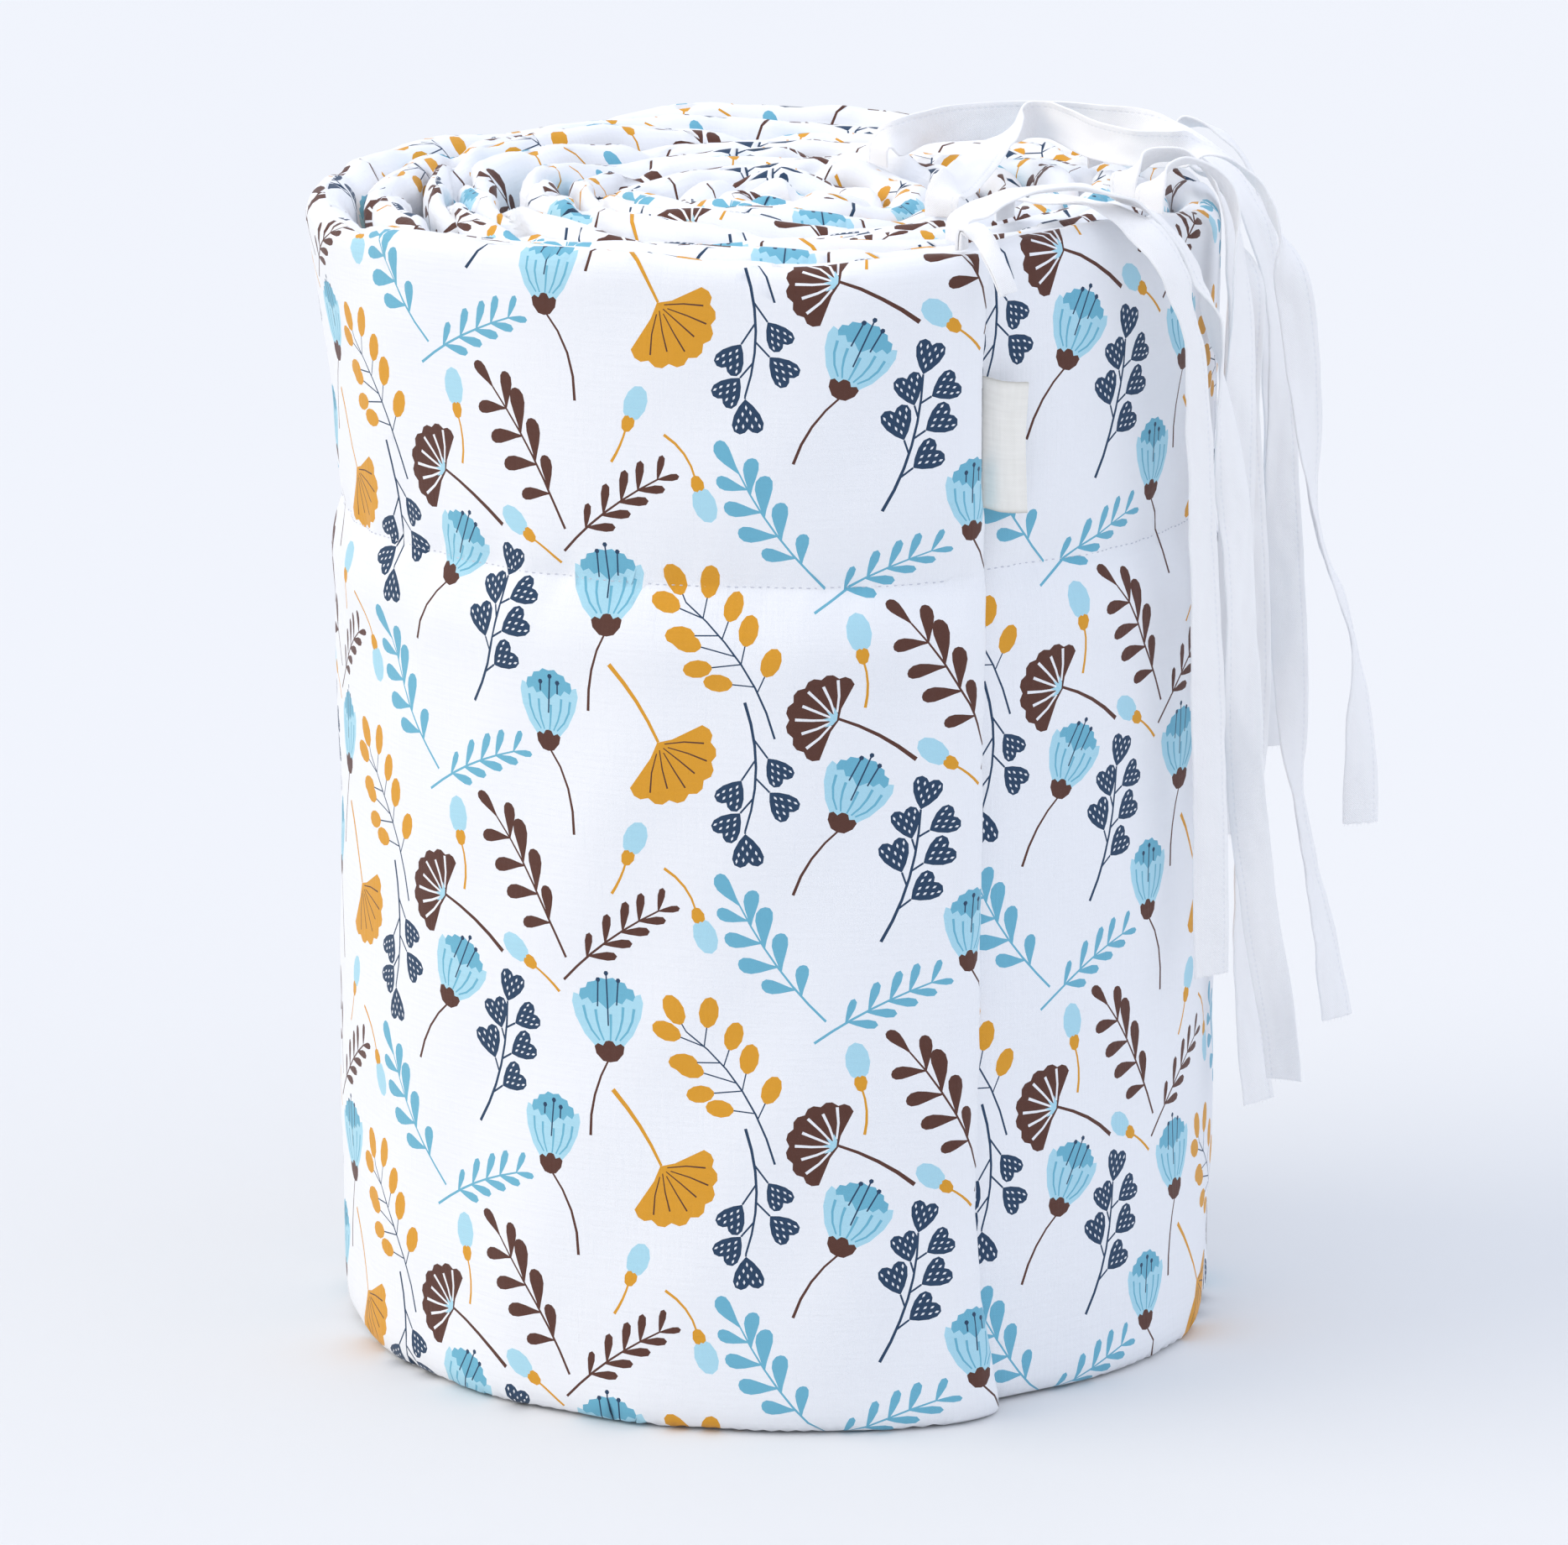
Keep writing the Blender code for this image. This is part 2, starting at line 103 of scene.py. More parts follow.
# Creases across the crest: which turn, its direction, how they slant, and their size.
Crease = namedtuple("Crease", "turn deg slant width depth reach")
CREASES = [Crease(*row) for row in (
    (0, 205, 1.3, 0.0070, 0.0016, 0.030), (0, 168, -0.9, 0.0080, 0.0018, 0.034),
    (0, 118, 0.9, 0.0080, 0.0016, 0.034), (0, 52, 0.8, 0.0080, 0.0016, 0.030),
    (0, 12, -0.8, 0.0070, 0.0018, 0.030), (0, -28, 0.8, 0.0060, 0.0014, 0.026),
    (1, 212, 1.6, 0.0060, 0.0030, 0.026), (1, 184, 1.3, 0.0070, 0.0040, 0.030),
    (1, 150, -1.0, 0.0075, 0.0030, 0.028), (1, 36, 0.9, 0.0070, 0.0026, 0.026),
    (1, -14, -0.9, 0.0065, 0.0022, 0.024), (2, 222, 1.7, 0.0055, 0.0030, 0.024),
    (2, 196, 1.5, 0.0065, 0.0046, 0.030), (2, 160, -1.2, 0.0070, 0.0036, 0.028),
    (2, 96, 0.8, 0.0080, 0.0030, 0.026), (2, 10, 0.9, 0.0065, 0.0028, 0.024),
    (3, 206, 1.6, 0.0060, 0.0046, 0.030), (3, 176, -1.2, 0.0065, 0.0038, 0.026),
    (3, 122, 1.0, 0.0070, 0.0032, 0.026), (3, -8, -0.9, 0.0060, 0.0024, 0.024),
    (4, 216, 1.4, 0.0055, 0.0036, 0.026), (4, 180, 1.2, 0.0060, 0.0040, 0.026),
    (4, 84, -0.9, 0.0065, 0.0032, 0.026), (5, 200, 1.2, 0.0055, 0.0036, 0.024),
    (5, 140, -1.0, 0.0060, 0.0034, 0.024), (5, 40, 0.9, 0.0060, 0.0030, 0.024),
    (6, 176, 1.1, 0.0050, 0.0034, 0.024), (6, 70, -0.9, 0.0055, 0.0032, 0.024),
    (7, 130, 0.9, 0.0050, 0.0030, 0.022), (7, 0, -0.8, 0.0050, 0.0026, 0.020),
)]
CREASE_LIP = 0.18            # beside a crease the cloth swells by this share of its depth

# Small folds and puckers: how far they stand out, how many come to a metre along the cloth and
# up it, a seed, and how far they slant. Those of the free end run up it instead of along.
Wrinkle = namedtuple("Wrinkle", "size along up seed slant skew", defaults=(0.0, 0.0))
SEAM_WAVER = (Wrinkle(0.0007, 0, 90, 3.1),)
CREST_WAVER = (Wrinkle(0.0013, 22, 0, 5.7), Wrinkle(0.0007, 70, 0, 9.2))
CREST_PUCKER = (Wrinkle(0.00035, 150, 30, 1.3),)
TURN_FOLDS = (Wrinkle(0.0007, 48, 40, 6.1),)
OPEN_FOLDS = (Wrinkle(0.0008, 9, 11, 2.2), Wrinkle(0.0021, 25, 9, 5.1, 0.5, 0.5),
              Wrinkle(0.0009, 30, 34, 7.9))
STITCH_PULL = (Wrinkle(0.0012, 31, 0, 3.6),)
STITCH_DEPTH = 0.0030        # how far the row of stitching draws the outer panel in at the front
STITCH_PUCKER = (Wrinkle(0.00072, 150, 0, 8.8, 0.4), Wrinkle(0.00156, 75, 20, 2.9, 0.3))
END_PUCKER = (Wrinkle(0.0006, 130, 40, 6.6),)
CREST_REACH = 0.034          # folds of the crest reach this far down both panels
CREST_DIP, CREST_DIP_WIDTH = 0.0005, 0.0013        # the sewn edge along the crest
INNER_FOLD = 0.034           # from one fold of the inner panel to the next


def wave(rows, wound):
    turns = wound / 360
    return sum(row.size * math.sin(2 * math.pi * row.per_turn * turns + row.drift * turns
                                   + row.phase) for row in rows)


def middle_radius(wound):
    """Radius of the strip's middle; wound is in degrees inwards from the free end."""
    return END_RADIUS - PAD / 2 - TURN_PITCH * wound / 360


def last_wound():
    whole = (END_RADIUS - PAD / 2 - CORE_RADIUS) / TURN_PITCH * 360
    return math.floor(whole / STEP_DEG) * STEP_DEG


def lean_at(wound):
    """How far the upper edge leans out there; the turns lie loosest on the left."""
    loosest = max(0.0, -math.cos(math.radians(END_DEG - wound))) ** 2
    return wave(LEAN, wound) + LOOSE * loosest * middle_radius(wound) / END_RADIUS


def crest_height(wound):
    return STRIP_WIDTH + wave(RISE, wound) - CORE_DROP * (wound / last_wound()) ** 3


def wound_at(turn, deg):
    return 360 * turn + (END_DEG - deg) % 360


def on_roll(deg, radius, z):
    angle = math.radians(deg)
    return ROLL_AXIS + Vector((radius * math.cos(angle), radius * math.sin(angle), z))


def cloth_length(wound):
    """Length of the outer panel from the free end."""
    turned_by = math.radians(wound)
    return END_RADIUS * turned_by - TURN_PITCH / (4 * math.pi) * turned_by ** 2


def wound_after(length):
    step = TURN_PITCH / (2 * math.pi)
    inside = max(0.0, END_RADIUS ** 2 - 2 * step * length)
    return math.degrees((END_RADIUS - math.sqrt(inside)) / step)


def half_share(height):
    """Half the strip's thickness at a height, as a share of half the pad's."""
    share = 1.0
    if height < FOOT_RADIUS:
        under = 1 - height / FOOT_RADIUS
        share = FOOT_SHARE + (1 - FOOT_SHARE) * math.sqrt(1 - under ** 2)
    elif height > STRIP_WIDTH - CREST_RADIUS:
        over = (height - STRIP_WIDTH + CREST_RADIUS) / CREST_RADIUS
        share = math.sqrt(max(0.0, 1 - over ** 2))
    near = 1 - abs(height - STITCH_HEIGHT) / STITCH_REACH
    return share - (STITCH_PINCH * near ** 1.6 if near > 0 else 0.0)


def panel_profile():
    """Rows up one panel: cloth run, height, half thickness, and the way its face looks."""
    heights = [FOOT_RADIUS * (1 - math.cos(k * math.pi / 24)) for k in range(13)]
    low, step = 0.010, 0.002
    heights += [low + step * k for k in range(int((STRIP_WIDTH - CREST_RADIUS - low) / step) + 1)]
    heights += [STRIP_WIDTH - CREST_RADIUS * (1 - math.sin(k * math.pi / 32)) for k in range(17)]
    corners = [(0.0, 0.0)] + [(half_share(z) * PAD / 2, z) for z in heights]
    rows, run = [], 0.0
    for i, (half, z) in enumerate(corners):
        if i:
            run += math.hypot(half - corners[i - 1][0], z - corners[i - 1][1])
        before, after = corners[max(i - 1, 0)], corners[min(i + 1, len(corners) - 1)]
        along = math.hypot(after[0] - before[0], after[1] - before[1])
        rows.append((run, z, half, (after[1] - before[1]) / along, (before[0] - after[0]) / along))
    rows[-1] = rows[-1][:3] + (0.0, 1.0)
    return rows


PROFILE = panel_profile()
PROFILE_RUNS = [row[0] for row in PROFILE]
CREST_RUN = PROFILE_RUNS[-1]
LAST_LENGTH = cloth_length(last_wound() + 8.0)


def profile_at(run):
    i = min(max(bisect.bisect_right(PROFILE_RUNS, run) - 1, 0), len(PROFILE) - 2)
    low, high = PROFILE[i], PROFILE[i + 1]
    share = (run - low[0]) / (high[0] - low[0])
    return [a + (b - a) * share for a, b in zip(low, high)]


def seam_past(height):
    for low, high in zip(SEAM, SEAM[1:]):
        if height <= high.height:
            share = max(0.0, (height - low.height) / (high.height - low.height))
            return low.past + share * (high.past - low.past)
    return SEAM[-1].past


def soft(value):
    value = min(1.0, max(0.0, value))
    return value * value * (3 - 2 * value)


def uneven(x, y, seed):
    """Smooth unevenness between -1 and 1."""
    return noise.noise(Vector((x, y, seed)))


def bell(off, width):
    return math.exp(-(off / width) ** 2)


def wrinkled(wrinkles, along, up):
    return sum(w.size * uneven((along + w.slant * up) * w.along, (up - w.skew * along) * w.up, w.seed)
               for w in wrinkles)


CREASE_LENGTHS = [cloth_length(wound_at(crease.turn, crease.deg)) for crease in CREASES]


def creased(length, over):
    """How far the creases press the cloth in, over from the crest."""
    pressed = 0.0
    for crease, place in zip(CREASES, CREASE_LENGTHS):
        if abs(length - place) < 0.05 and abs(over) < crease.reach:
            aside = length - place - crease.slant * over
            depth = crease.depth * (1 - (abs(over) / crease.reach) ** 2)
            pressed += depth * bell(aside, crease.width)
            pressed -= CREASE_LIP * depth * bell(abs(aside) - 2.1 * crease.width, 1.3 * crease.width)
    return pressed


def crest_relief(length, run, wound):
    """What the cloth stands out near the crest."""
    over = run - CREST_RUN
    near = soft(1 - abs(over) / CREST_REACH)
    if near <= 0:
        return 0.0
    relief = -creased(length, over) - CREST_DIP * bell(over, CREST_DIP_WIDTH)
    relief += wrinkled(CREST_PUCKER, length, run) * soft(1 - abs(over) / 0.014)
    turn = wound / 360
    if run > CREST_RUN:
        fold = length / INNER_FOLD + 0.8 * uneven(length * 17, 0.0, 4.4) + 30.0 * over
        ridge = math.sqrt(math.sin(math.pi * fold) ** 2 + 0.02)
        relief += (0.0004 + 0.0009 * (1 - math.exp(-turn))) * near * (ridge - 0.7)
    elif turn > 0.9:
        relief += near * wrinkled(TURN_FOLDS, length, run)
    return relief


def stitched_relief(length, z, deg):
    """How the row of stitching draws the panel in, most at the front, and puckers it."""
    off = z - STITCH_HEIGHT
    if abs(off) >= 0.060:
        return 0.0
    front = bell((deg + 260) % 360 - 180, 66)
    drawn_in = STITCH_DEPTH + wrinkled(STITCH_PULL, length, 0.0)
    drawn_in += 0.0014 * math.exp(-length / 0.09)
    drawn_in *= 0.15 + 0.85 * front
    fade = 0.0125 if off > 0 else 0.0045
    return (0.0019 * (1 - front) * bell(off, 0.016) - drawn_in * math.exp(-abs(off) / fade)
            + 0.0016 * bell(off + 0.018, 0.010)
            + wrinkled(STITCH_PUCKER, length, z) * math.exp(-abs(off) / 0.014))


def bunching(deg, middle):
    """How far the turns move to bunch up, and how far on in the row of bunches, as an angle."""
    size = BUNCHED + BUNCHED_MORE * max(0.0, math.cos(math.radians(deg - BUNCHED_DEG))) ** 2
    size *= soft((END_RADIUS - 0.006 - middle) / 0.016) * soft((middle - 0.010) / 0.020)
    return size, 2 * math.pi * middle / BUNCH_PITCH + 0.8 * math.sin(math.radians(2 * deg + 40))


def strip_middle(wound, upper):
    """Radius of the strip's middle where it leans out; upper is 0 at the stitching, 1 at the crest."""
    middle = middle_radius(wound)
    size, swing = bunching(END_DEG - wound, middle)
    return middle + upper * (size * math.sin(swing) + lean_at(wound))


def room_between(wound, upper):
    """Half the thickness that fits between the turns on either side."""
    here = strip_middle(wound, upper)
    room = (here - strip_middle(wound + 360, upper)) / 2
    if wound > 360:
        room = min(room, (strip_middle(wound - 360, upper) - here) / 2)
    return room


def filling(length):
    """How full the strip is, from 0 at either end to 1."""
    filled = math.sqrt(max(0.0, 1 - max(0.0, 1 - length / END_REACH) ** 2))
    # A mesh holds lengths in 32 bits, so the last of them may come out a few microns short.
    inner_end = max(0.0, (LAST_LENGTH - 0.000005 - length) / INNER_REACH)
    if inner_end < 1:
        filled = math.sqrt(max(0.0, 1 - (1 - inner_end) ** 2)) * 0.9 + 0.1 * inner_end
    return filled


def roll_point(length, run):
    """Place of a point of the flat cloth on the finished roll."""
    outer = run <= CREST_RUN
    _, z, half, out, up = profile_at(run if outer else 2 * CREST_RUN - run)
    wound = wound_after(length)
    filled = filling(length)
    thinner = (1 - min(filled, 1.0)) * PAD
    middle = middle_radius(wound) - thinner * (0.5 if length < 0.1 else 0.1)
    upper = max(0.0, (z - STITCH_HEIGHT) / (STRIP_WIDTH - STITCH_HEIGHT)) ** 2
    deg = END_DEG - wound
    if length < SEAM_REACH:
        past = seam_past(z) + wrinkled(SEAM_WAVER, 0.0, z)
        deg += math.degrees(past / END_RADIUS) * (1 - length / SEAM_REACH)

    size, swing = bunching(deg, middle)
    middle += size * upper * math.sin(swing)
    squeeze = 1 + size * upper * 2 * math.pi / BUNCH_PITCH * math.cos(swing)
    room = room_between(wound, upper)
    half *= filled * min(1.03, squeeze, (room - TURN_GAP) / (PAD / 2))

    # The relief goes along the face's own direction.
    bump = crest_relief(length, run, wound)
    if outer and wound < SHOWS_TO:
        relief = wrinkled(OPEN_FOLDS, length, z) + stitched_relief(length, z, deg)
        bump += relief * soft((SHOWS_TO - wound) / 10)
        if length < 0.022:
            bump += wrinkled(END_PUCKER, z, length) * (1 - length / 0.022) * filled
    bump *= min(filled, 1.0) * soft(min(run, 2 * CREST_RUN - run) / 0.004)
    if not outer or wound > COVERED_FROM:
        bump = min(bump, (room - half - TURN_GAP) / max(out, 0.2))

    rise = crest_height(wound) - STRIP_WIDTH + wrinkled(CREST_WAVER, length, 0.0)
    face = 1.0 if outer else -1.0
    radius = middle + lean_at(wound) * upper + face * (half + out * bump)
    return on_roll(deg, radius, max(0.0, z + rise * upper + up * bump))


# The print: sprigs, bell flowers, ginkgo leaves and buds, charted in millimetres, in a repeat
# whose columns drop by half. Each colour is laid into the cloth as faces of its own.
Shape = namedtuple("Shape", "colour outline")


def turned(outline, deg, at=(0.0, 0.0), size=1.0):
    turn = math.radians(deg)
    across, up = math.cos(turn) * size, math.sin(turn) * size
    return [(at[0] + across * x - up * y, at[1] + up * x + across * y) for x, y in outline]


def placed(shapes, deg, at=(0.0, 0.0), size=1.0):
    return [Shape(shape.colour, turned(shape.outline, deg, at, size)) for shape in shapes]


def bow(start, end, bend, steps=4):
    """Points of a bent line; bend is how far its middle lies to the left of the straight one."""
    dx, dy = end[0] - start[0], end[1] - start[1]
    long = math.hypot(dx, dy)
    line = []
    for i in range(steps + 1):
        t = i / steps
        off = 4 * bend * t * (1 - t) / long
        line.append((start[0] + dx * t - dy * off, start[1] + dy * t + dx * off))
    return line


def stroke(line, width, end_width=None):
    """A brush line along the points, from one width to another."""
    end_width = width if end_width is None else end_width
    left, right = [], []
    for i, (x, y) in enumerate(line):
        ax, ay = line[max(i - 1, 0)]
        bx, by = line[min(i + 1, len(line) - 1)]
        half = (width + (end_width - width) * i / (len(line) - 1)) / 2 / math.hypot(bx - ax, by - ay)
        left.append((x - (by - ay) * half, y + (bx - ax) * half))
        right.append((x + (by - ay) * half, y - (bx - ax) * half))
    return left + right[::-1]


def both_sides(right, width, length):
    """An outline about the y axis from shares of its right side, foot to tip."""
    side = [(x * width, y * length) for x, y in right]
    return side + [(-x, y) for x, y in side[::-1] if x > 0]


BLADE = ((0.05, 0.0), (0.17, 0.20), (0.36, 0.45), (0.49, 0.68), (0.46, 0.86), (0.26, 0.97), (0.0, 1.0))
NARROW = ((0.07, 0.0), (0.30, 0.30), (0.48, 0.65), (0.40, 0.90), (0.0, 1.0))
ROUND = ((0.10, 0.0), (0.36, 0.14), (0.50, 0.42), (0.46, 0.70), (0.28, 0.92), (0.0, 1.0))
HEART = ((0.0, 0.0), (0.22, 0.20), (0.41, 0.46), (0.50, 0.72), (0.45, 0.91), (0.28, 1.0),
         (0.11, 0.96), (0.0, 0.86))
FLECKS = ((0.0, 0.25), (0.13, 0.43), (-0.12, 0.40), (0.28, 0.61), (0.01, 0.60), (-0.27, 0.60),
          (0.37, 0.80), (0.15, 0.78), (-0.13, 0.79), (-0.36, 0.79))


def blade(colour, width, length, curl=0.0, right=BLADE):
    outline = both_sides(right, width, length)
    return [Shape(colour, [(x + curl * (y / length) ** 2, y) for x, y in outline])]


def heart_leaf(width, length):
    shapes = [Shape("navy", both_sides(HEART, width, length))]
    for x, y in FLECKS:
        fleck = both_sides(((0.0, -0.5), (0.5, 0.0), (0.0, 0.5)), 0.075 * width, 0.15 * length)
        shapes.append(Shape("ground", turned(fleck, -40 * x, (x * width, y * length))))
    return shapes


def spray(line, width, colour, leaves, leaf):
    """A stem with leaves on stalks: along is a share of it, stalk its length, turn from upright."""
    shapes = [Shape(colour, stroke(line, width * 1.25, width * 0.8))]
    last = len(line) - 1
    for along, stalk, turn, size in leaves:
        i = min(int(along * last), last - 1)
        share = along * last - i
        x = line[i][0] + (line[i + 1][0] - line[i][0]) * share
        y = line[i][1] + (line[i + 1][1] - line[i][1]) * share
        out = math.radians(turn + 90)
        foot = (x + stalk * math.cos(out), y + stalk * math.sin(out))
        if stalk:
            shapes.append(Shape(colour, stroke([(x, y), foot], width * 0.75)))
        shapes += placed(leaf, turn, foot, size)
    return shapes


def fan_leaf(colour, radius, spread, lobes, vein, vein_width, heart=None, skew=0.0):
    """A ginkgo leaf above its stem: a scalloped fan with veins from its foot."""
    rim = []
    for i in range(lobes * 3 + 1):
        share = i / (lobes * 3) * 2 - 1
        scallop = (0.93, 1.0, 1.0)[i % 3]
        reach = radius * scallop * (1 - 0.10 * share * share + skew * share)
        turn = math.radians(90 + spread / 2 * share)
        rim.append((reach * math.cos(turn), reach * math.sin(turn)))
    side = [(0.30 * x, 0.30 * y + 0.02 * radius) for x, y in (rim[-1], rim[0])]
    shapes = [Shape(colour, rim + [side[0], (0.0, -0.5), side[1]])]
    for i in range(1, lobes):
        share = i / lobes * 2 - 1
        turn = math.radians(90 + spread / 2 * share * 0.98)
        near, far = radius * (0.10 + 0.06 * (i % 2)), radius * (0.74 + 0.08 * (i % 2))
        line = bow((near * math.cos(turn), near * math.sin(turn)),
                   (far * math.cos(turn), far * math.sin(turn)), 0.04 * radius * share, 2)
        shapes.append(Shape(vein, stroke(line, vein_width * 0.7, vein_width * 1.1)))
    if heart:
        burst = []
        for i in range(9):
            turn = math.radians(90 + spread / 2 * (i / 4 - 1) * 0.8)
            reach = radius * (0.28 if i % 2 else 0.13)
            burst.append((reach * math.cos(turn), reach * math.sin(turn)))
        shapes.append(Shape(heart, [(0.0, 0.0)] + burst))
    return shapes


def bell_flower(width, height, stamens):
    """A cup of petals over a calyx, with three stamens; its foot is at the origin."""
    back = ((0.0, 0.40), (0.30, 0.52), (0.40, 0.74), (0.37, 0.86), (0.29, 0.88), (0.26, 0.95),
            (0.16, 0.97), (0.10, 1.02), (0.0, 1.0))
    front = ((0.0, 0.05), (0.17, 0.05), (0.34, 0.24), (0.46, 0.48), (0.50, 0.68), (0.47, 0.80),
             (0.40, 0.78), (0.36, 0.70), (0.27, 0.74), (0.21, 0.66), (0.12, 0.69), (0.0, 0.58))
    shapes = [Shape("blue", both_sides(back, width, height)),
              Shape("sky", both_sides(front, width, height))]
    for foot, top, high in ((0.02, 0.04, 0.52), (0.09, 0.22, 0.62), (-0.07, -0.17, 0.58),
                            (0.15, 0.37, 0.60), (-0.13, -0.34, 0.63)):
        line = bow((foot * width, 0.16 * height), (top * width, high * height), -top * 3, 3)
        shapes.append(Shape("blue", stroke(line, 0.022 * width, 0.040 * width)))
    for foot, top, low, high in stamens:
        start, end = (foot * width, low * height), (top * width, high * height)
        shapes.append(Shape("navy", stroke([start, end], 0.45)))
        dot = [(0.72 * math.cos(k * math.pi / 3), 0.72 * math.sin(k * math.pi / 3)) for k in range(6)]
        shapes.append(Shape("navy", turned(dot, 0, end)))
    calyx = ((0.0, -0.14), (0.10, -0.12), (0.19, -0.02), (0.21, 0.08), (0.16, 0.12), (0.09, 0.09),
             (0.05, 0.15), (0.0, 0.16))
    shapes.append(Shape("brown", both_sides(calyx, width, height)))
    return shapes


def bud(tall, stem):
    """A closed bud in its calyx over a bent stem; the calyx is at the origin."""
    shapes = [Shape("mustard", stroke(stem, 0.55, 0.85))]
    shapes += placed(blade("sky", tall * 0.64, tall, 0.0, ROUND), 0, (0.0, 1.2))
    cup = ((0.0, -0.55), (0.30, -0.40), (0.48, 0.05), (0.40, 0.42), (0.15, 0.55), (0.0, 0.45))
    return shapes + [Shape("mustard", both_sides(cup, 3.9, 4.2))]


def charted():
    """Each motif at the cloth's real size, in millimetres, upright and about its own middle."""
    motifs = {}
    leaf = heart_leaf(8.9, 9.6)
    motifs["heart sprig"] = placed(spray(bow((0, 0), (0, 38), -2.5, 6), 0.75, "navy", (
        (0.26, 4.5, -38, 0.95), (0.44, 4.0, 36, 0.98), (0.55, 4.0, -42, 0.95), (0.70, 3.5, 34, 0.92),
        (0.80, 3.6, -44, 0.90), (1.0, 0.0, 0, 0.95)), leaf), -17, (-7.0, -22.0))
    motifs["hanging sprig"] = placed(spray(bow((0, 0), (0, 36), 3.0, 6), 0.70, "navy", (
        (0.28, 6.5, 36, 0.86), (0.44, 7.0, -33, 0.92), (0.58, 5.5, 44, 0.92), (0.74, 5.5, -40, 0.92),
        (1.0, 0.6, 6, 0.98)), leaf), 180, (-2.0, 23.0))
    stamens = ((0.0, 0.01, 0.36, 1.08), (-0.14, -0.11, 0.62, 0.99), (0.13, 0.17, 0.64, 0.98))
    short = ((0.0, 0.02, 0.40, 0.92), (-0.14, -0.14, 0.70, 0.83), (0.15, 0.15, 0.68, 0.84))
    for name, width, height, rows, lean, foot, bend in (
            ("tall bell", 21.5, 20.5, stamens, 4, (-5.5, -24.0), -1.6),
            ("round bell", 18.0, 20.0, short, -2, (8.5, -25.0), 2.4),
            ("leaning bell", 20.0, 19.0, stamens, -24, (-13.0, -20.0), -1.8)):
        flower = [Shape("brown", stroke(bow((0, -1.5), foot, bend), 0.55, 0.85))]
        flower += placed(bell_flower(width, height, rows), lean)
        motifs[name] = placed(flower, 0, (-foot[0] * 0.4, 2.5))
    fan = fan_leaf("brown", 13.8, 182, 8, "ground", 0.75, "sky", 0.04)
    stem = Shape("brown", stroke(bow((0, 0.5), (22, -12), 1.2), 0.75, 1.25))
    motifs["brown ginkgo"] = placed([stem] + placed(fan, 66), 0, (-4, 2))
    fan = fan_leaf("mustard", 17.0, 148, 7, "brown", 0.42, None, -0.05)
    stem = Shape("mustard", stroke(bow((0, 0.5), (-14, 21), -1.0), 0.8, 1.35))
    motifs["mustard ginkgo"] = placed([stem] + placed(fan, 222), 0, (2, -3))
    petal = blade("mustard", 5.6, 9.0, 0.0, ROUND)
    motifs["berry spray"] = placed(spray(bow((0, 0), (0, 44), -4.0, 6), 0.50, "navy", (
        (0.30, 5.0, -58, 0.92), (0.34, 6.0, 52, 0.88), (0.50, 5.0, -46, 0.95), (0.50, 8.0, 64, 0.88),
        (0.56, 9.5, 42, 0.90), (0.69, 5.0, -52, 0.92), (0.72, 6.5, 58, 0.90), (0.86, 5.5, -42, 0.98),
        (0.86, 7.0, 36, 0.95), (1.0, 2.4, -4, 1.0)), petal), 34, (10.5, -20.0))
    frond = blade("blue", 4.7, 11.0, 1.0)
    motifs["blue branch"] = placed(spray(bow((0, 0), (0, 40), 1.8, 6), 0.55, "blue", (
        (0.24, 0, -34, 0.80), (0.30, 0, 52, 0.86), (0.46, 0, -30, 0.98), (0.50, 0, 56, 0.98),
        (0.66, 0, -32, 1.05), (0.70, 0, 52, 0.92), (0.84, 0, -34, 0.92), (0.88, 0, 44, 0.80),
        (1.0, 0, 6, 0.95)), frond), 36, (11.0, -18.0))
    frond = blade("brown", 4.3, 11.2, -1.0)
    motifs["brown branch"] = placed(spray(bow((0, 0), (0, 43), -1.6, 6), 0.60, "brown", (
        (0.26, 0, -30, 0.86), (0.24, 0, 60, 0.82), (0.46, 0, -32, 1.05), (0.44, 0, 58, 0.98),
        (0.66, 0, -30, 1.10), (0.64, 0, 60, 0.95), (0.84, 0, -36, 0.90), (0.84, 0, 56, 0.86),
        (1.0, 0, 8, 0.80)), frond), 32, (10.5, -18.5))
    for name, colour, lean in (("blue twig", "blue", -64), ("brown twig", "brown", -52)):
        narrow = blade(colour, 2.7, 8.6, 0.0, NARROW)
        motifs[name] = placed(spray(bow((0, 0), (0, 36), 1.5, 6), 0.60, colour, (
            (0.28, 0, 44, 0.85), (0.30, 0, -34, 0.98), (0.48, 0, 46, 0.98), (0.46, 0, -32, 1.0),
            (0.66, 0, 44, 1.0), (0.64, 0, -32, 1.0), (0.82, 0, 46, 0.95), (0.82, 0, -32, 0.92),
            (1.0, 0, 40, 0.80), (1.0, 0, -26, 0.74)), narrow), lean, (-19.0, -8.0))
    motifs["bud"] = bud(10.6, bow((0, -1), (-1.0, -14.5), 1.0))
    motifs["nodding bud"] = placed(bud(10.2, bow((0, -1), (4.5, -15.0), -1.6)), 200, (0, -4))
    motifs["short bud"] = placed(bud(10.0, bow((0, -1), (-0.5, -11.5), 0.4)), -22)
    return motifs


REPEAT = 134.0        # mm both ways, each column dropped by half
MOTIF_SIZE = 1.12
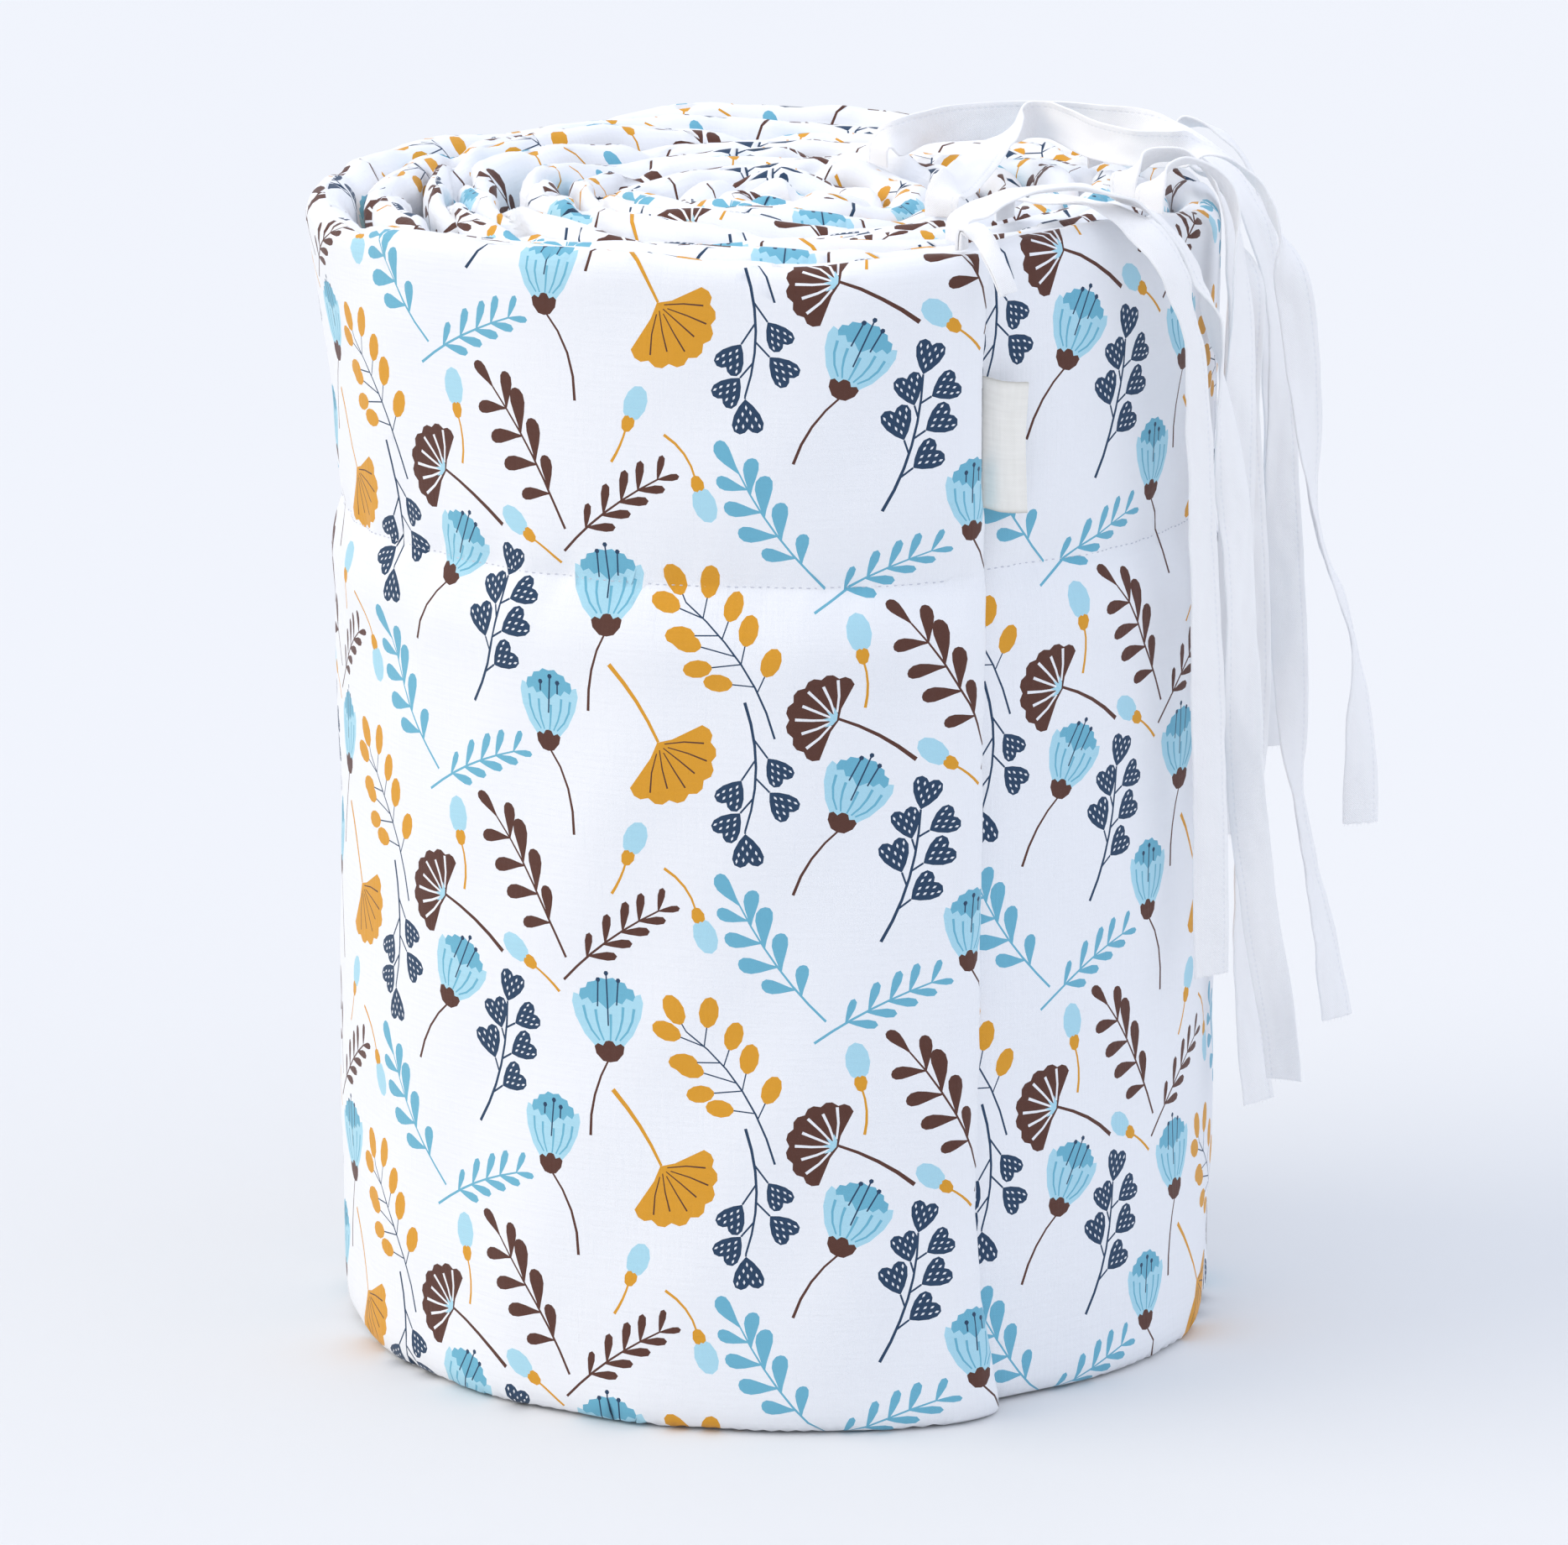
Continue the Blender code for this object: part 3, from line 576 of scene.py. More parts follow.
# The motifs of one repeat, with the x and y of their middles and their turn.
LAYOUT = (
    ("heart sprig", 8, 113, 0), ("tall bell", 47, 115, 0), ("berry spray", 90, 108, 0),
    ("bud", 128, 111, 8), ("brown ginkgo", 125, 89, 0),
    ("round bell", 33, 77, 0), ("mustard ginkgo", 64, 86, 0), ("hanging sprig", 95, 71, 0),
    ("blue twig", 1, 66, 0), ("short bud", 56, 46, 0), ("leaning bell", 116, 56, 0),
    ("brown branch", 23, 33, 0), ("nodding bud", 78, 34, 0), ("blue branch", 105, 17, 0),
    ("brown twig", 55, 14, 0), ("short bud", 22, 9, 76),
)


def print_shapes(shift, low, high):
    """Every shape of the print between two places along the cloth, in its millimetres."""
    motifs = charted()
    shapes = []
    first, last = math.floor((low - shift[0]) / REPEAT) - 1, math.ceil((high - shift[0]) / REPEAT)
    for column in range(first, last + 1):
        left = shift[0] + column * REPEAT
        drop = REPEAT / 2 if column % 2 else 0.0
        for row in range(-1, 4):
            foot = shift[1] + row * REPEAT + drop
            for name, x, y, turn in LAYOUT:
                shapes += placed(motifs[name], turn, (left + x, foot + y), MOTIF_SIZE)
    return shapes


def clipped(outline, axis, limit, keep_above):
    """The part of an outline on one side of a line."""
    kept = []
    sign = 1 if keep_above else -1
    for i, end in enumerate(outline):
        start = outline[i - 1]
        a, b = sign * (start[axis] - limit), sign * (end[axis] - limit)
        if (a >= 0) != (b >= 0):
            share = a / (a - b)
            kept.append((start[0] + (end[0] - start[0]) * share,
                         start[1] + (end[1] - start[1]) * share))
        if b >= 0:
            kept.append(end)
    return kept


PrintedShape = namedtuple("PrintedShape", "colour outline low_x low_y high_x high_y")
MM = 1000
OUTER_TURN = cloth_length(368.0) * MM
LENGTH = LAST_LENGTH * MM
CREST = CREST_RUN * MM
BAND = 21.5                  # the print shows this far below the crest of the inner turns
OUTER_SHIFT = (-37.0, -61.0)          # where the repeat starts on each panel
INNER_SHIFT = (21.0, -8.0)
HEM = 1.2                    # no print this close to the foot
CREST_LINE = 0.3             # nor to the edge where the panels meet
SMALLEST = 0.2
FLECK = 1.0                  # shapes smaller than this are left out where little shows


def cloth_print():
    """The outlines of the print on the flat strip: both panels, only where they can be seen."""
    found = [(shape.colour, [(-x, y) for x, y in shape.outline], True)
             for shape in print_shapes(OUTER_SHIFT, -LENGTH, 0.0)]
    found += [(shape.colour, [(x, 2 * CREST - y) for x, y in shape.outline], False)
              for shape in print_shapes(INNER_SHIFT, 0.0, LENGTH)]
    printed = []
    for colour, outline, outer in found:
        outline = clipped(clipped(outline, 0, 0.5, True), 0, LENGTH - 12.0, False)
        if len(outline) < 3:
            continue
        near, far = min(x for x, y in outline), max(x for x, y in outline)
        if far - near < FLECK and (near > OUTER_TURN or not outer):
            continue
        if outer:
            low, high = HEM if near < OUTER_TURN else CREST - BAND, CREST - CREST_LINE
        else:
            low, high = CREST + CREST_LINE, CREST + BAND
        outline = clipped(clipped(outline, 1, low, True), 1, high, False)
        if len(outline) < 3:
            continue
        xs, ys = [x for x, y in outline], [y for x, y in outline]
        if max(xs) - min(xs) > SMALLEST and max(ys) - min(ys) > SMALLEST:
            printed.append(PrintedShape(colour, outline, min(xs), min(ys), max(xs), max(ys)))
    return printed


def inside(outline, x, y):
    hit = False
    ax, ay = outline[-1]
    for bx, by in outline:
        if (ay > y) != (by > y) and x < (bx - ax) * (y - ay) / (by - ay) + ax:
            hit = not hit
        ax, ay = bx, by
    return hit


def spaced(low, high, step):
    count = max(1, round((high - low) / step))
    return [low + (high - low) * i / count for i in range(count + 1)]


def stitch_run():
    """How far up the panel the row of stitching runs."""
    for low, high in zip(PROFILE, PROFILE[1:]):
        if high[1] >= STITCH_HEIGHT:
            return low[0] + (high[0] - low[0]) * (STITCH_HEIGHT - low[1]) / (high[1] - low[1])


# Rows and columns of the cloth's own points, in millimetres: from the free end, from the inner
# end, from the crest, from the foot where little shows and where all shows, and from the row of
# stitching.
END_COLUMNS = (0.0, 0.7, 1.8, 3.2, 5.0, 7.2, 9.8, 12.6, 15.8)
INNER_COLUMNS = (0.0, 0.5, 1.6, 3.4, 6.0, 9.0)
CREST_ROWS = (0.0, 1.3, 2.7, 4.4, 6.6, 9.4, 13.0, 17.5, 22.0, 27.0)
HIDDEN_ROWS = (0.0, 3.5, 9.0, 60.0, 120.0, 180.0, 240.0, 266.5, 293.0, 325.0)
FOOT_ROWS = (1.6, 3.4, 5.6, 8.2, 11.4)
STITCH_ROWS = (0.0, 0.8, 1.7, 3.2, 5.4, 8.0)
CREST_STEP = 3.9             # along the crest; closer together in the core
OPEN_STEP = 5.2
OPEN_RISE = 4.6
FULL_RADIUS = 0.05           # the core's points come closer together inside this


def crest_columns():
    places, place = [], 0.0
    while place < LENGTH - 3.0:
        places.append(place)
        bend = min(1.0, middle_radius(wound_after(place / MM)) / FULL_RADIUS)
        place += max(1.6, CREST_STEP * bend)
    places = [x for x in places if x > 18.5]
    places += list(END_COLUMNS) + [LENGTH - back for back in INNER_COLUMNS]
    return sorted(x for x in set(places) if x <= LENGTH)


def cloth_points():
    """Where the flat cloth has points of its own, close together where it bends or shows."""
    points = []
    for i, x in enumerate(crest_columns()):
        for row in CREST_ROWS:
            if row < 14 or i % 2 == 0 or not 20 < x < LENGTH - 20:
                points += [(x, CREST - row), (x, CREST + row)]
    sections = [cloth_length(wound) * MM
                for wound in range(0, int(last_wound()) + 8, int(STEP_DEG))]
    for x in sections + [LENGTH]:
        for row in HIDDEN_ROWS:
            if x > OUTER_TURN or row == 0.0:
                points.append((x, row))
            if x or row == 0.0:
                points.append((x, 2 * CREST - row))

    # The outer turn shows all over.
    rows = list(FOOT_ROWS)
    y = 15.5
    while y < CREST - BAND - 2:
        rows.append(y)
        y += OPEN_RISE
    for k, y in enumerate(rows):
        aside = OPEN_STEP / 2 if k % 2 else 0.0
        points += [(min(OUTER_TURN, x + aside), y) for x in spaced(16.0, OUTER_TURN, OPEN_STEP)]
    line = stitch_run() * MM
    for off in STITCH_ROWS:
        for x in spaced(16.0, OUTER_TURN, 2.4 if off < 4 else 3.6):
            points += [(x, line + off), (x, line - off)]
    for x in END_COLUMNS:
        for y in spaced(0.0, CREST - BAND, 3.0):
            points.append((x, y))
            if x == 0.0 or y == 0.0:
                points.append((x, 2 * CREST - y))
    return points


NEAR_OUTLINE = 1.6           # the cloth has no points of its own in a square this size by an outline
CELL = 10                    # shapes are looked up in squares of this size


def square_of(x, y, size):
    return int(x / size), int(y / size)


def flat_cloth():
    """The flat strip cut into faces along the outlines of its print: points, faces, colours."""
    printed = cloth_print()
    near_outline = set()
    points, edges = [], []
    for shape in printed:
        first = len(points)
        points += shape.outline
        last = len(points)
        edges += [(i, i + 1 if i + 1 < last else first) for i in range(first, last)]
        near_outline.update(square_of(x, y, NEAR_OUTLINE) for x, y in shape.outline)
    for x, y in set(cloth_points()):
        on_edge = x in (0.0, LENGTH) or y in (0.0, CREST, 2 * CREST)
        if on_edge or square_of(x, y, NEAR_OUTLINE) not in near_outline:
            points.append((x, y))
    first = len(points)
    points += [(0.0, 0.0), (LENGTH, 0.0), (LENGTH, CREST), (LENGTH, 2 * CREST), (0.0, 2 * CREST),
               (0.0, CREST)]
    edges += [(first + i, first + (i + 1) % 6) for i in range(6)] + [(first + 2, first + 5)]
    found = geometry.delaunay_2d_cdt([Vector(point) for point in points], edges, [], 0, 0.02)
    places, faces = found[0], found[2]

    cells = {}
    for i, shape in enumerate(printed):
        left, foot = square_of(shape.low_x, shape.low_y, CELL)
        right, top = square_of(shape.high_x, shape.high_y, CELL)
        for across in range(left, right + 1):
            for up in range(foot, top + 1):
                cells.setdefault((across, up), []).append(i)
    colours = []
    for face in faces:
        x, y = sum(places[i].x for i in face) / 3, sum(places[i].y for i in face) / 3
        over = [printed[i] for i in reversed(cells.get(square_of(x, y, CELL), ()))]
        colours.append(next((shape.colour for shape in over
                             if shape.low_x < x < shape.high_x and shape.low_y < y < shape.high_y
                             and inside(shape.outline, x, y)), "ground"))
    return places, faces, colours


class Number:
    """A socket that carries a number through a shader; sums on it add Math nodes."""

    def __init__(self, cloth, socket):
        self.cloth = cloth
        self.socket = socket

    def math(self, operation, *others):
        return self.cloth.math(operation, self, *others)

    def __add__(self, other):
        return self.math("ADD", other)

    __radd__ = __add__

    def __sub__(self, other):
        return self.math("SUBTRACT", other)

    def __rsub__(self, other):
        return self.cloth.math("SUBTRACT", other, self)

    def __mul__(self, other):
        return self.math("MULTIPLY", other)

    __rmul__ = __mul__

    def __pow__(self, other):
        return self.math("POWER", other)


class Cloth:
    def __init__(self, name):
        self.material = bpy.data.materials.new(name)
        self.material.use_nodes = True
        self.tree = self.material.node_tree
        self.principled = self.tree.nodes["Principled BSDF"]

    def node(self, kind, settings, inputs, output=0):
        made = self.tree.nodes.new(kind)
        for name, value in settings.items():
            setattr(made, name, value)
        for name, value in inputs.items():
            if isinstance(value, Number):
                self.tree.links.new(value.socket, made.inputs[name])
            else:
                made.inputs[name].default_value = value
        return Number(self, made.outputs[output])

    def math(self, operation, *values):
        return self.node("ShaderNodeMath", {"operation": operation}, dict(enumerate(values)))

    def chart(self):
        """Metres across and along the piece's own map."""
        place = self.node("ShaderNodeUVMap", {"uv_map": "cloth"}, {})
        return [self.node("ShaderNodeSeparateXYZ", {}, {"Vector": place}, axis) for axis in (0, 1)]

    def finish(self, **sockets):
        for name, value in sockets.items():
            socket = self.principled.inputs[name.replace("_", " ")]
            if isinstance(value, Number):
                self.tree.links.new(value.socket, socket)
            else:
                socket.default_value = value
        return self.material


def linear(red, green, blue):
    """A colour from its values on screen, 0 to 255."""
    def part(value):
        value /= 255
        return value / 12.92 if value <= 0.04045 else ((value + 0.055) / 1.055) ** 2.4
    return (part(red), part(green), part(blue), 1.0)


def woven(cloth, thread, depth, rough, slub=0.3):
    """Bump and roughness of a plain weave; thread is its pitch, slub how uneven the threads are."""
    x, y = cloth.chart()
    turns = math.pi / thread
    weave = (x * turns).math("SINE") * (y * turns).math("SINE")
    warp = cloth.node("ShaderNodeCombineXYZ", {}, {"X": x * 750.0, "Y": y * 60.0})
    weft = cloth.node("ShaderNodeCombineXYZ", {}, {"X": x * 60.0, "Y": y * 750.0})
    warp_slub = cloth.node("ShaderNodeTexNoise", {}, {"Vector": warp, "Scale": 1.0, "Detail": 2.0})
    weft_slub = cloth.node("ShaderNodeTexNoise", {}, {"Vector": weft, "Scale": 1.0, "Detail": 2.0})
    slubs = warp_slub + weft_slub - 1.0
    height = weave * (1 - slub) + slubs * (slub * 4)
    normal = cloth.node("ShaderNodeBump", {}, {"Strength": 1.0, "Distance": depth, "Height": height})
    return normal, rough + slubs * 0.25, slubs


PRINT_COLOURS = {
    "ground": (246, 248, 252), "navy": (42, 68, 97), "mustard": (225, 160, 46),
    "brown": (92, 57, 47), "sky": (176, 223, 240), "blue": (112, 183, 209),
}


def printed_cotton(name, colour):
    cloth = Cloth(name)
    normal, roughness, _ = woven(cloth, 0.00034, 0.00006, 0.80, 0.75)
    return cloth.finish(Base_Color=colour, Roughness=roughness, Normal=normal, Sheen_Weight=0.2,
                        Sheen_Roughness=0.4, Specular_IOR_Level=0.35)


def roll_mesh():
    places, faces, colours = flat_cloth()
    mesh = bmesh.new()
    chart = mesh.loops.layers.uv.new("cloth")
    corners = [mesh.verts.new(roll_point(max(0.0, p.x) / MM, max(0.0, p.y) / MM)) for p in places]
    slots = list(PRINT_COLOURS)
    for indices, colour in zip(faces, colours):
        face = mesh.faces.new([corners[i] for i in indices])
        face.material_index = slots.index(colour)
        face.smooth = True
        for loop, i in zip(face.loops, indices):
            loop[chart].uv = (places[i].x / MM, places[i].y / MM)
    bmesh.ops.remove_doubles(mesh, verts=mesh.verts, dist=0.00002)
    # A corner of the flat cloth can leave a face that hangs by one edge.
    loose = [face for face in mesh.faces if sum(len(e.link_faces) == 1 for e in face.edges) > 1]
    bmesh.ops.delete(mesh, geom=loose, context="FACES")
    bmesh.ops.recalc_face_normals(mesh, faces=mesh.faces)
    return mesh


def add_piece(name, mesh, materials):
    data = bpy.data.meshes.new(name)
    mesh.to_mesh(data)
    mesh.free()
    for material in materials:
        data.materials.append(material)
    piece = bpy.data.objects.new(name, data)
    bpy.context.scene.collection.objects.link(piece)
    return piece


padded_roll = add_piece("padded_roll", roll_mesh(),
                        [printed_cotton("cotton_" + name, linear(*rgb))
                         for name, rgb in PRINT_COLOURS.items()])
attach(padded_roll, "root")
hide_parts("bumper_roll")

# --- Stitching ----------------------------------------------------------------------------------
# White sewing thread: one row of running stitches along the strip holds the two panels together
# through the filling. It shows as short dashes on the outer turn, coloured grey-blue as painted
# shade.
STITCH_PITCH = 0.0025
STITCH_LONG = 0.0017
FIRST_STITCH = 0.004         # from the free end
THREAD = 0.00042             # the thread's thickness


def stitch(mesh, place, along, out, long):
    """One visible stitch: a short rounded length of thread, its ends drawn into the cloth."""
    made = bmesh.ops.create_icosphere(mesh, subdivisions=1, radius=0.5)
    side = out.cross(along).normalized()
    for corner in made["verts"]:
        a, b, c = corner.co
        corner.co = place + along * (a * long) + side * (b * THREAD) + out * (c * THREAD)
        corner.co -= out * (THREAD * 0.9 * (2 * a) ** 2)


def along_cloth(length, run):
    """A place on the roll, the way the cloth runs there, and the way it faces."""
    place = roll_point(length, run)
    along = (roll_point(length + 0.001, run) - roll_point(length - 0.001, run)).normalized()
    up = (roll_point(length, run + 0.001) - roll_point(length, run - 0.001)).normalized()
    return place, along, up.cross(along).normalized()


def thread_mesh():
    mesh = bmesh.new()
    line = stitch_run()
    for k in range(math.ceil((OUTER_TURN / MM - FIRST_STITCH) / STITCH_PITCH)):
        length = FIRST_STITCH + k * STITCH_PITCH
        off = 0.00018 * uneven(length * 300, 0.0, 4.0)
        place, along, out = along_cloth(length, line + off)
        stitch(mesh, place + out * THREAD * 0.25, along, out, STITCH_LONG)
    for face in mesh.faces:
        face.smooth = True
    return mesh


def thread_in_painted_shade():
    cloth = Cloth("thread_in_painted_shade")
    place = cloth.node("ShaderNodeTexCoord", {}, {}, "Object")
    ply = cloth.node("ShaderNodeTexNoise", {}, {"Vector": place, "Scale": 2500.0, "Detail": 2.0})
    normal = cloth.node("ShaderNodeBump", {}, {"Strength": 0.8, "Distance": 0.0001, "Height": ply})
    # Painted shade: the white thread is given a grey-blue colour that stands in for its shade.
    return cloth.finish(Base_Color=linear(206, 209, 220), Roughness=0.62 + ply * 0.2, Normal=normal,
                        Sheen_Weight=0.2)


running_stitches = add_piece("running_stitches", thread_mesh(), [thread_in_painted_shade()])
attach(running_stitches, "root")

# --- Ties ---------------------------------------------------------------------------------------
# Flat tapes folded double from white cotton and topstitched along the open edge. Each is sewn
# into the crest of the strip, drawn out over the top and left to hang, its end cut straight.
TAPE_WIDTH = 0.0122
TAPE_THICK = 0.0011
SEWN_GAP = 0.00045           # clearance where a sewn piece leaves the strip
DRAPE_GAP = 0.0025           # clearance of the draped tapes from the roll
TAPE_RISE = 0.006            # a tape first stands up from its seam
TAPE_STEP = 0.0070           # one section of a tape every so far along its route
ROUTE_STEPS = 12             # points between two stations from which the even steps are taken
BEND_ROUNDS = 30
TABLE_PULL = 0.06            # how firmly a tape keeps to its stations' headings
FREE_RADIUS = 0.020          # bends tighter than this are over the flat side alone
TAPE_PLIES = 0.0008          # the folded tape's thickness as it shows
TAPE_STITCHING = 0.0019      # from the open edge to the row of topstitching
TAPE_STITCH = 0.0022         # from one of its stitches to the next
TAPE_COLUMNS = 10

# Where each tape leaves the roll, and the places it passes with its width's heading and tip.
Station = namedtuple("Station", "x y z heading tip")
Tape = namedtuple("Tape", "turn deg stations")
TAPES = {
    "tie_1": Tape(1, -67, (
        (0.0540, -0.1155, 0.3755, 0, 0), (0.0610, -0.1115, 0.3790, -30, 0),
        (0.0690, -0.1070, 0.3812, -50, 4), (0.0800, -0.1010, 0.3818, -62, 6),
        (0.0925, -0.0945, 0.3798, -70, 6), (0.1043, -0.0880, 0.3745, -82, 4),
        (0.1150, -0.0830, 0.3655, -94, 0), (0.1240, -0.0785, 0.3510, -108, 0),
        (0.1305, -0.0735, 0.3300, -124, 0), (0.1370, -0.0690, 0.2800, -136, 0),
        (0.1405, -0.0685, 0.2300, -146, 0), (0.1420, -0.0670, 0.1900, -152, 0),
        (0.1480, -0.0560, 0.1420, -158, 0), (0.1548, -0.0450, 0.1050, -162, 0),
        (0.1572, -0.0410, 0.0839, -162, 0))),
    "tie_2": Tape(2, -48, (
        (0.0725, -0.0770, 0.3735, 48, 6), (0.0800, -0.0810, 0.3745, 58, 14),
        (0.0900, -0.0862, 0.3742, 62, 18), (0.1000, -0.0918, 0.3715, 60, 14),
        (0.1095, -0.0970, 0.3650, 56, 4), (0.1180, -0.0985, 0.3520, 50, 0),
        (0.1235, -0.0930, 0.3250, 42, 0), (0.1275, -0.0860, 0.2700, 38, 0),
        (0.1300, -0.0780, 0.2000, 30, 0), (0.1322, -0.0700, 0.1258, 20, 0))),
    "tie_3": Tape(3, -56, (
        (0.0500, -0.0630, 0.3750, 2, 0), (0.0555, -0.0430, 0.3765, -8, 0),
        (0.0620, -0.0120, 0.3775, -12, 0), (0.0690, 0.0150, 0.3785, -14, 12),
        (0.0770, 0.0330, 0.3805, 20, 45), (0.0860, 0.0250, 0.3800, 80, 66),
        (0.0950, 0.0060, 0.3785, 84, 64), (0.1080, -0.0090, 0.3780, 82, 58),
        (0.1210, -0.0140, 0.3785, 78, 40), (0.1345, -0.0130, 0.3775, 74, 14),
        (0.1485, -0.0100, 0.3640, 64, 0), (0.1580, -0.0085, 0.3360, 34, 0),
        (0.1625, -0.0120, 0.3020, 22, 0), (0.1670, -0.0160, 0.2600, 62, 0),
        (0.1778, -0.0180, 0.2240, 80, 0), (0.1812, -0.0180, 0.1900, 22, 0),
        (0.1817, -0.0180, 0.1623, 6, 0))),
    "tie_4": Tape(6, 45, (
        (0.0345, 0.0320, 0.3745, 120, 30), (0.0446, 0.0420, 0.3765, 108, 34),
        (0.0578, 0.0480, 0.3770, 98, 34), (0.0700, 0.0520, 0.3770, 90, 32),
        (0.0829, 0.0540, 0.3770, 86, 30), (0.0965, 0.0510, 0.3765, 82, 30),
        (0.1100, 0.0420, 0.3765, 76, 28), (0.1240, 0.0290, 0.3750, 70, 20),
        (0.1370, 0.0190, 0.3680, 66, 8), (0.1480, 0.0130, 0.3500, 60, 0),
        (0.1545, 0.0120, 0.3180, 44, 0), (0.1580, 0.0110, 0.2500, 14, 0),
        (0.1620, 0.0040, 0.1800, 30, 0), (0.1665, 0.0010, 0.1480, 74, 0),
        (0.1725, -0.0020, 0.1180, 30, 0), (0.1761, -0.0040, 0.0941, 14, 0))),
    "tie_5": Tape(2, 12, (
        (0.1040, 0.0170, 0.3780, 104, 40), (0.1150, 0.0090, 0.3790, 92, 34),
        (0.1250, 0.0030, 0.3745, 84, 18), (0.1345, -0.0050, 0.3580, 76, 0),
        (0.1385, -0.0200, 0.3260, 52, 0), (0.1430, -0.0270, 0.2800, 22, 0),
        (0.1465, -0.0290, 0.2100, 12, 0), (0.1440, -0.0290, 0.1500, 40, 0),
        (0.1450, -0.0290, 0.1200, 62, 0), (0.1500, -0.0300, 0.0735, 10, 0))),
    "tie_6": Tape(1, -24, (
        (0.1090, -0.0410, 0.3790, 115, 30), (0.1180, -0.0370, 0.3810, 100, 20),
        (0.1290, -0.0360, 0.3760, 88, 0), (0.1370, -0.0370, 0.3560, 66, 0),
        (0.1400, -0.0380, 0.3000, 40, 0), (0.1400, -0.0380, 0.2200, 20, 0),
        (0.1385, -0.0385, 0.1640, 12, 0))),
    "tie_7": Tape(0, 21, (
        (0.1270, 0.0480, 0.3770, 104, 40), (0.1380, 0.0460, 0.3740, 92, 20),
        (0.1480, 0.0430, 0.3600, 80, 0), (0.1540, 0.0390, 0.3360, 60, 0),
        (0.1570, 0.0360, 0.3000, 30, 0), (0.1585, 0.0340, 0.2400, 14, 0),
        (0.1572, 0.0330, 0.1755, 10, 0))),
    "tie_8": Tape(0, -30, (
        (0.1130, -0.0610, 0.3775, 46, 20), (0.1190, -0.0570, 0.3820, 60, 22),
        (0.1270, -0.0545, 0.3815, 70, 12), (0.1345, -0.0530, 0.3740, 68, 0),
        (0.1385, -0.0530, 0.3600, 56, 0), (0.1400, -0.0540, 0.3300, 40, 0),
        (0.1390, -0.0560, 0.2900, 26, 0), (0.1385, -0.0560, 0.2300, 20, 0),
        (0.1385, -0.0550, 0.1753, 14, 0))),
}


def crest_of_sections(wound):
    """Height of the straight edge between the two sections on either side."""
    before = math.floor(wound / STEP_DEG) * STEP_DEG
    share = (wound - before) / STEP_DEG
    return (1 - share) * crest_height(before) + share * crest_height(before + STEP_DEG)


def clear_of_roll(place):
    """Push a point of a draped tape out until it clears the roll's rounded outline."""
    place = place - ROLL_AXIS
    radius = math.hypot(place.x, place.y)
    wound = wound_at(0, math.degrees(math.atan2(place.y, place.x)))
    rim = PAD / 2
    over = radius - (middle_radius(wound) + lean_at(wound))
    above = place.z - (crest_height(wound) - rim)
    needed = rim + DRAPE_GAP + TAPE_THICK / 2
    if over <= 0:
        place.z += max(0.0, needed - above)
    else:
        reach = math.hypot(over, max(0.0, above))
        if reach < needed:
            grow = needed / reach
            place.z += (grow - 1) * max(0.0, above)
            outwards = 1 + (grow - 1) * over / radius
            place.x *= outwards
            place.y *= outwards
    return place + ROLL_AXIS


def spline(values, steps):
    """A smooth row of values through the given ones."""
    padded = [values[0]] + list(values) + [values[-1]]
    line = []
    for a, b, c, d in zip(padded, padded[1:], padded[2:], padded[3:]):
        for step in range(steps):
            t = step / steps
            line.append(b + 0.5 * t * (c - a + t * (2 * a - 5 * b + 4 * c - d
                                                    + t * (3 * (b - c) + d - a))))
    return line + [values[-1]]


def square_to(across, along):
    """The part of a width that lies square to the route, at unit length."""
    return (across - across.dot(along) * along).normalized()


def heading_vector(heading, tip):
    """Direction of a tape's width from its heading and tip, in degrees."""
    turn, tilt = math.radians(heading), math.radians(tip)
    return Vector((math.cos(turn) * math.cos(tilt), math.sin(turn) * math.cos(tilt),
                   math.sin(tilt)))


def distances(route):
    """How far along the route each of its points lies."""
    gone = [0.0]
    for a, b in zip(route, route[1:]):
        gone.append(gone[-1] + (b - a).length)
    return gone


def evenly(knots, widths):
    """The route through the knots at even steps, with the widths that belong there."""
    fine_route, fine_widths = spline(knots, ROUTE_STEPS), spline(widths, ROUTE_STEPS)
    gone = distances(fine_route)
    count = round(gone[-1] / TAPE_STEP)
    route, across, k = [], [], 0
    for i in range(count + 1):
        at = gone[-1] * i / count
        while k < len(gone) - 2 and gone[k + 1] < at:
            k += 1
        share = (at - gone[k]) / (gone[k + 1] - gone[k])
        route.append(fine_route[k].lerp(fine_route[k + 1], share))
        across.append(fine_widths[k].lerp(fine_widths[k + 1], share))
    return route, across


def direction_at(route, i):
    return (route[min(i + 1, len(route) - 1)] - route[max(i - 1, 0)]).normalized()


def flat_bends(route, wanted):
    """Turn the widths so that the tape bends over its flat side, as cloth does, not edgeways."""
    widths = list(wanted)
    for _ in range(BEND_ROUNDS):
        settled = []
        for i, width in enumerate(widths):
            before, after = widths[max(i - 1, 0)], widths[min(i + 1, len(widths) - 1)]
            width = 0.5 * width + 0.25 * (before + after) + TABLE_PULL * wanted[i]
            near = min(max(i, 1), len(route) - 2)
            bend = route[near - 1] - 2 * route[near] + route[near + 1]
            if bend.length > 1e-7:
                hold = min(1.0, bend.length / TAPE_STEP ** 2 * FREE_RADIUS)
                aim = bend.normalized()
                width = width - hold * width.dot(aim) * aim
            settled.append(square_to(width, direction_at(route, i)))
        widths = settled
    return widths


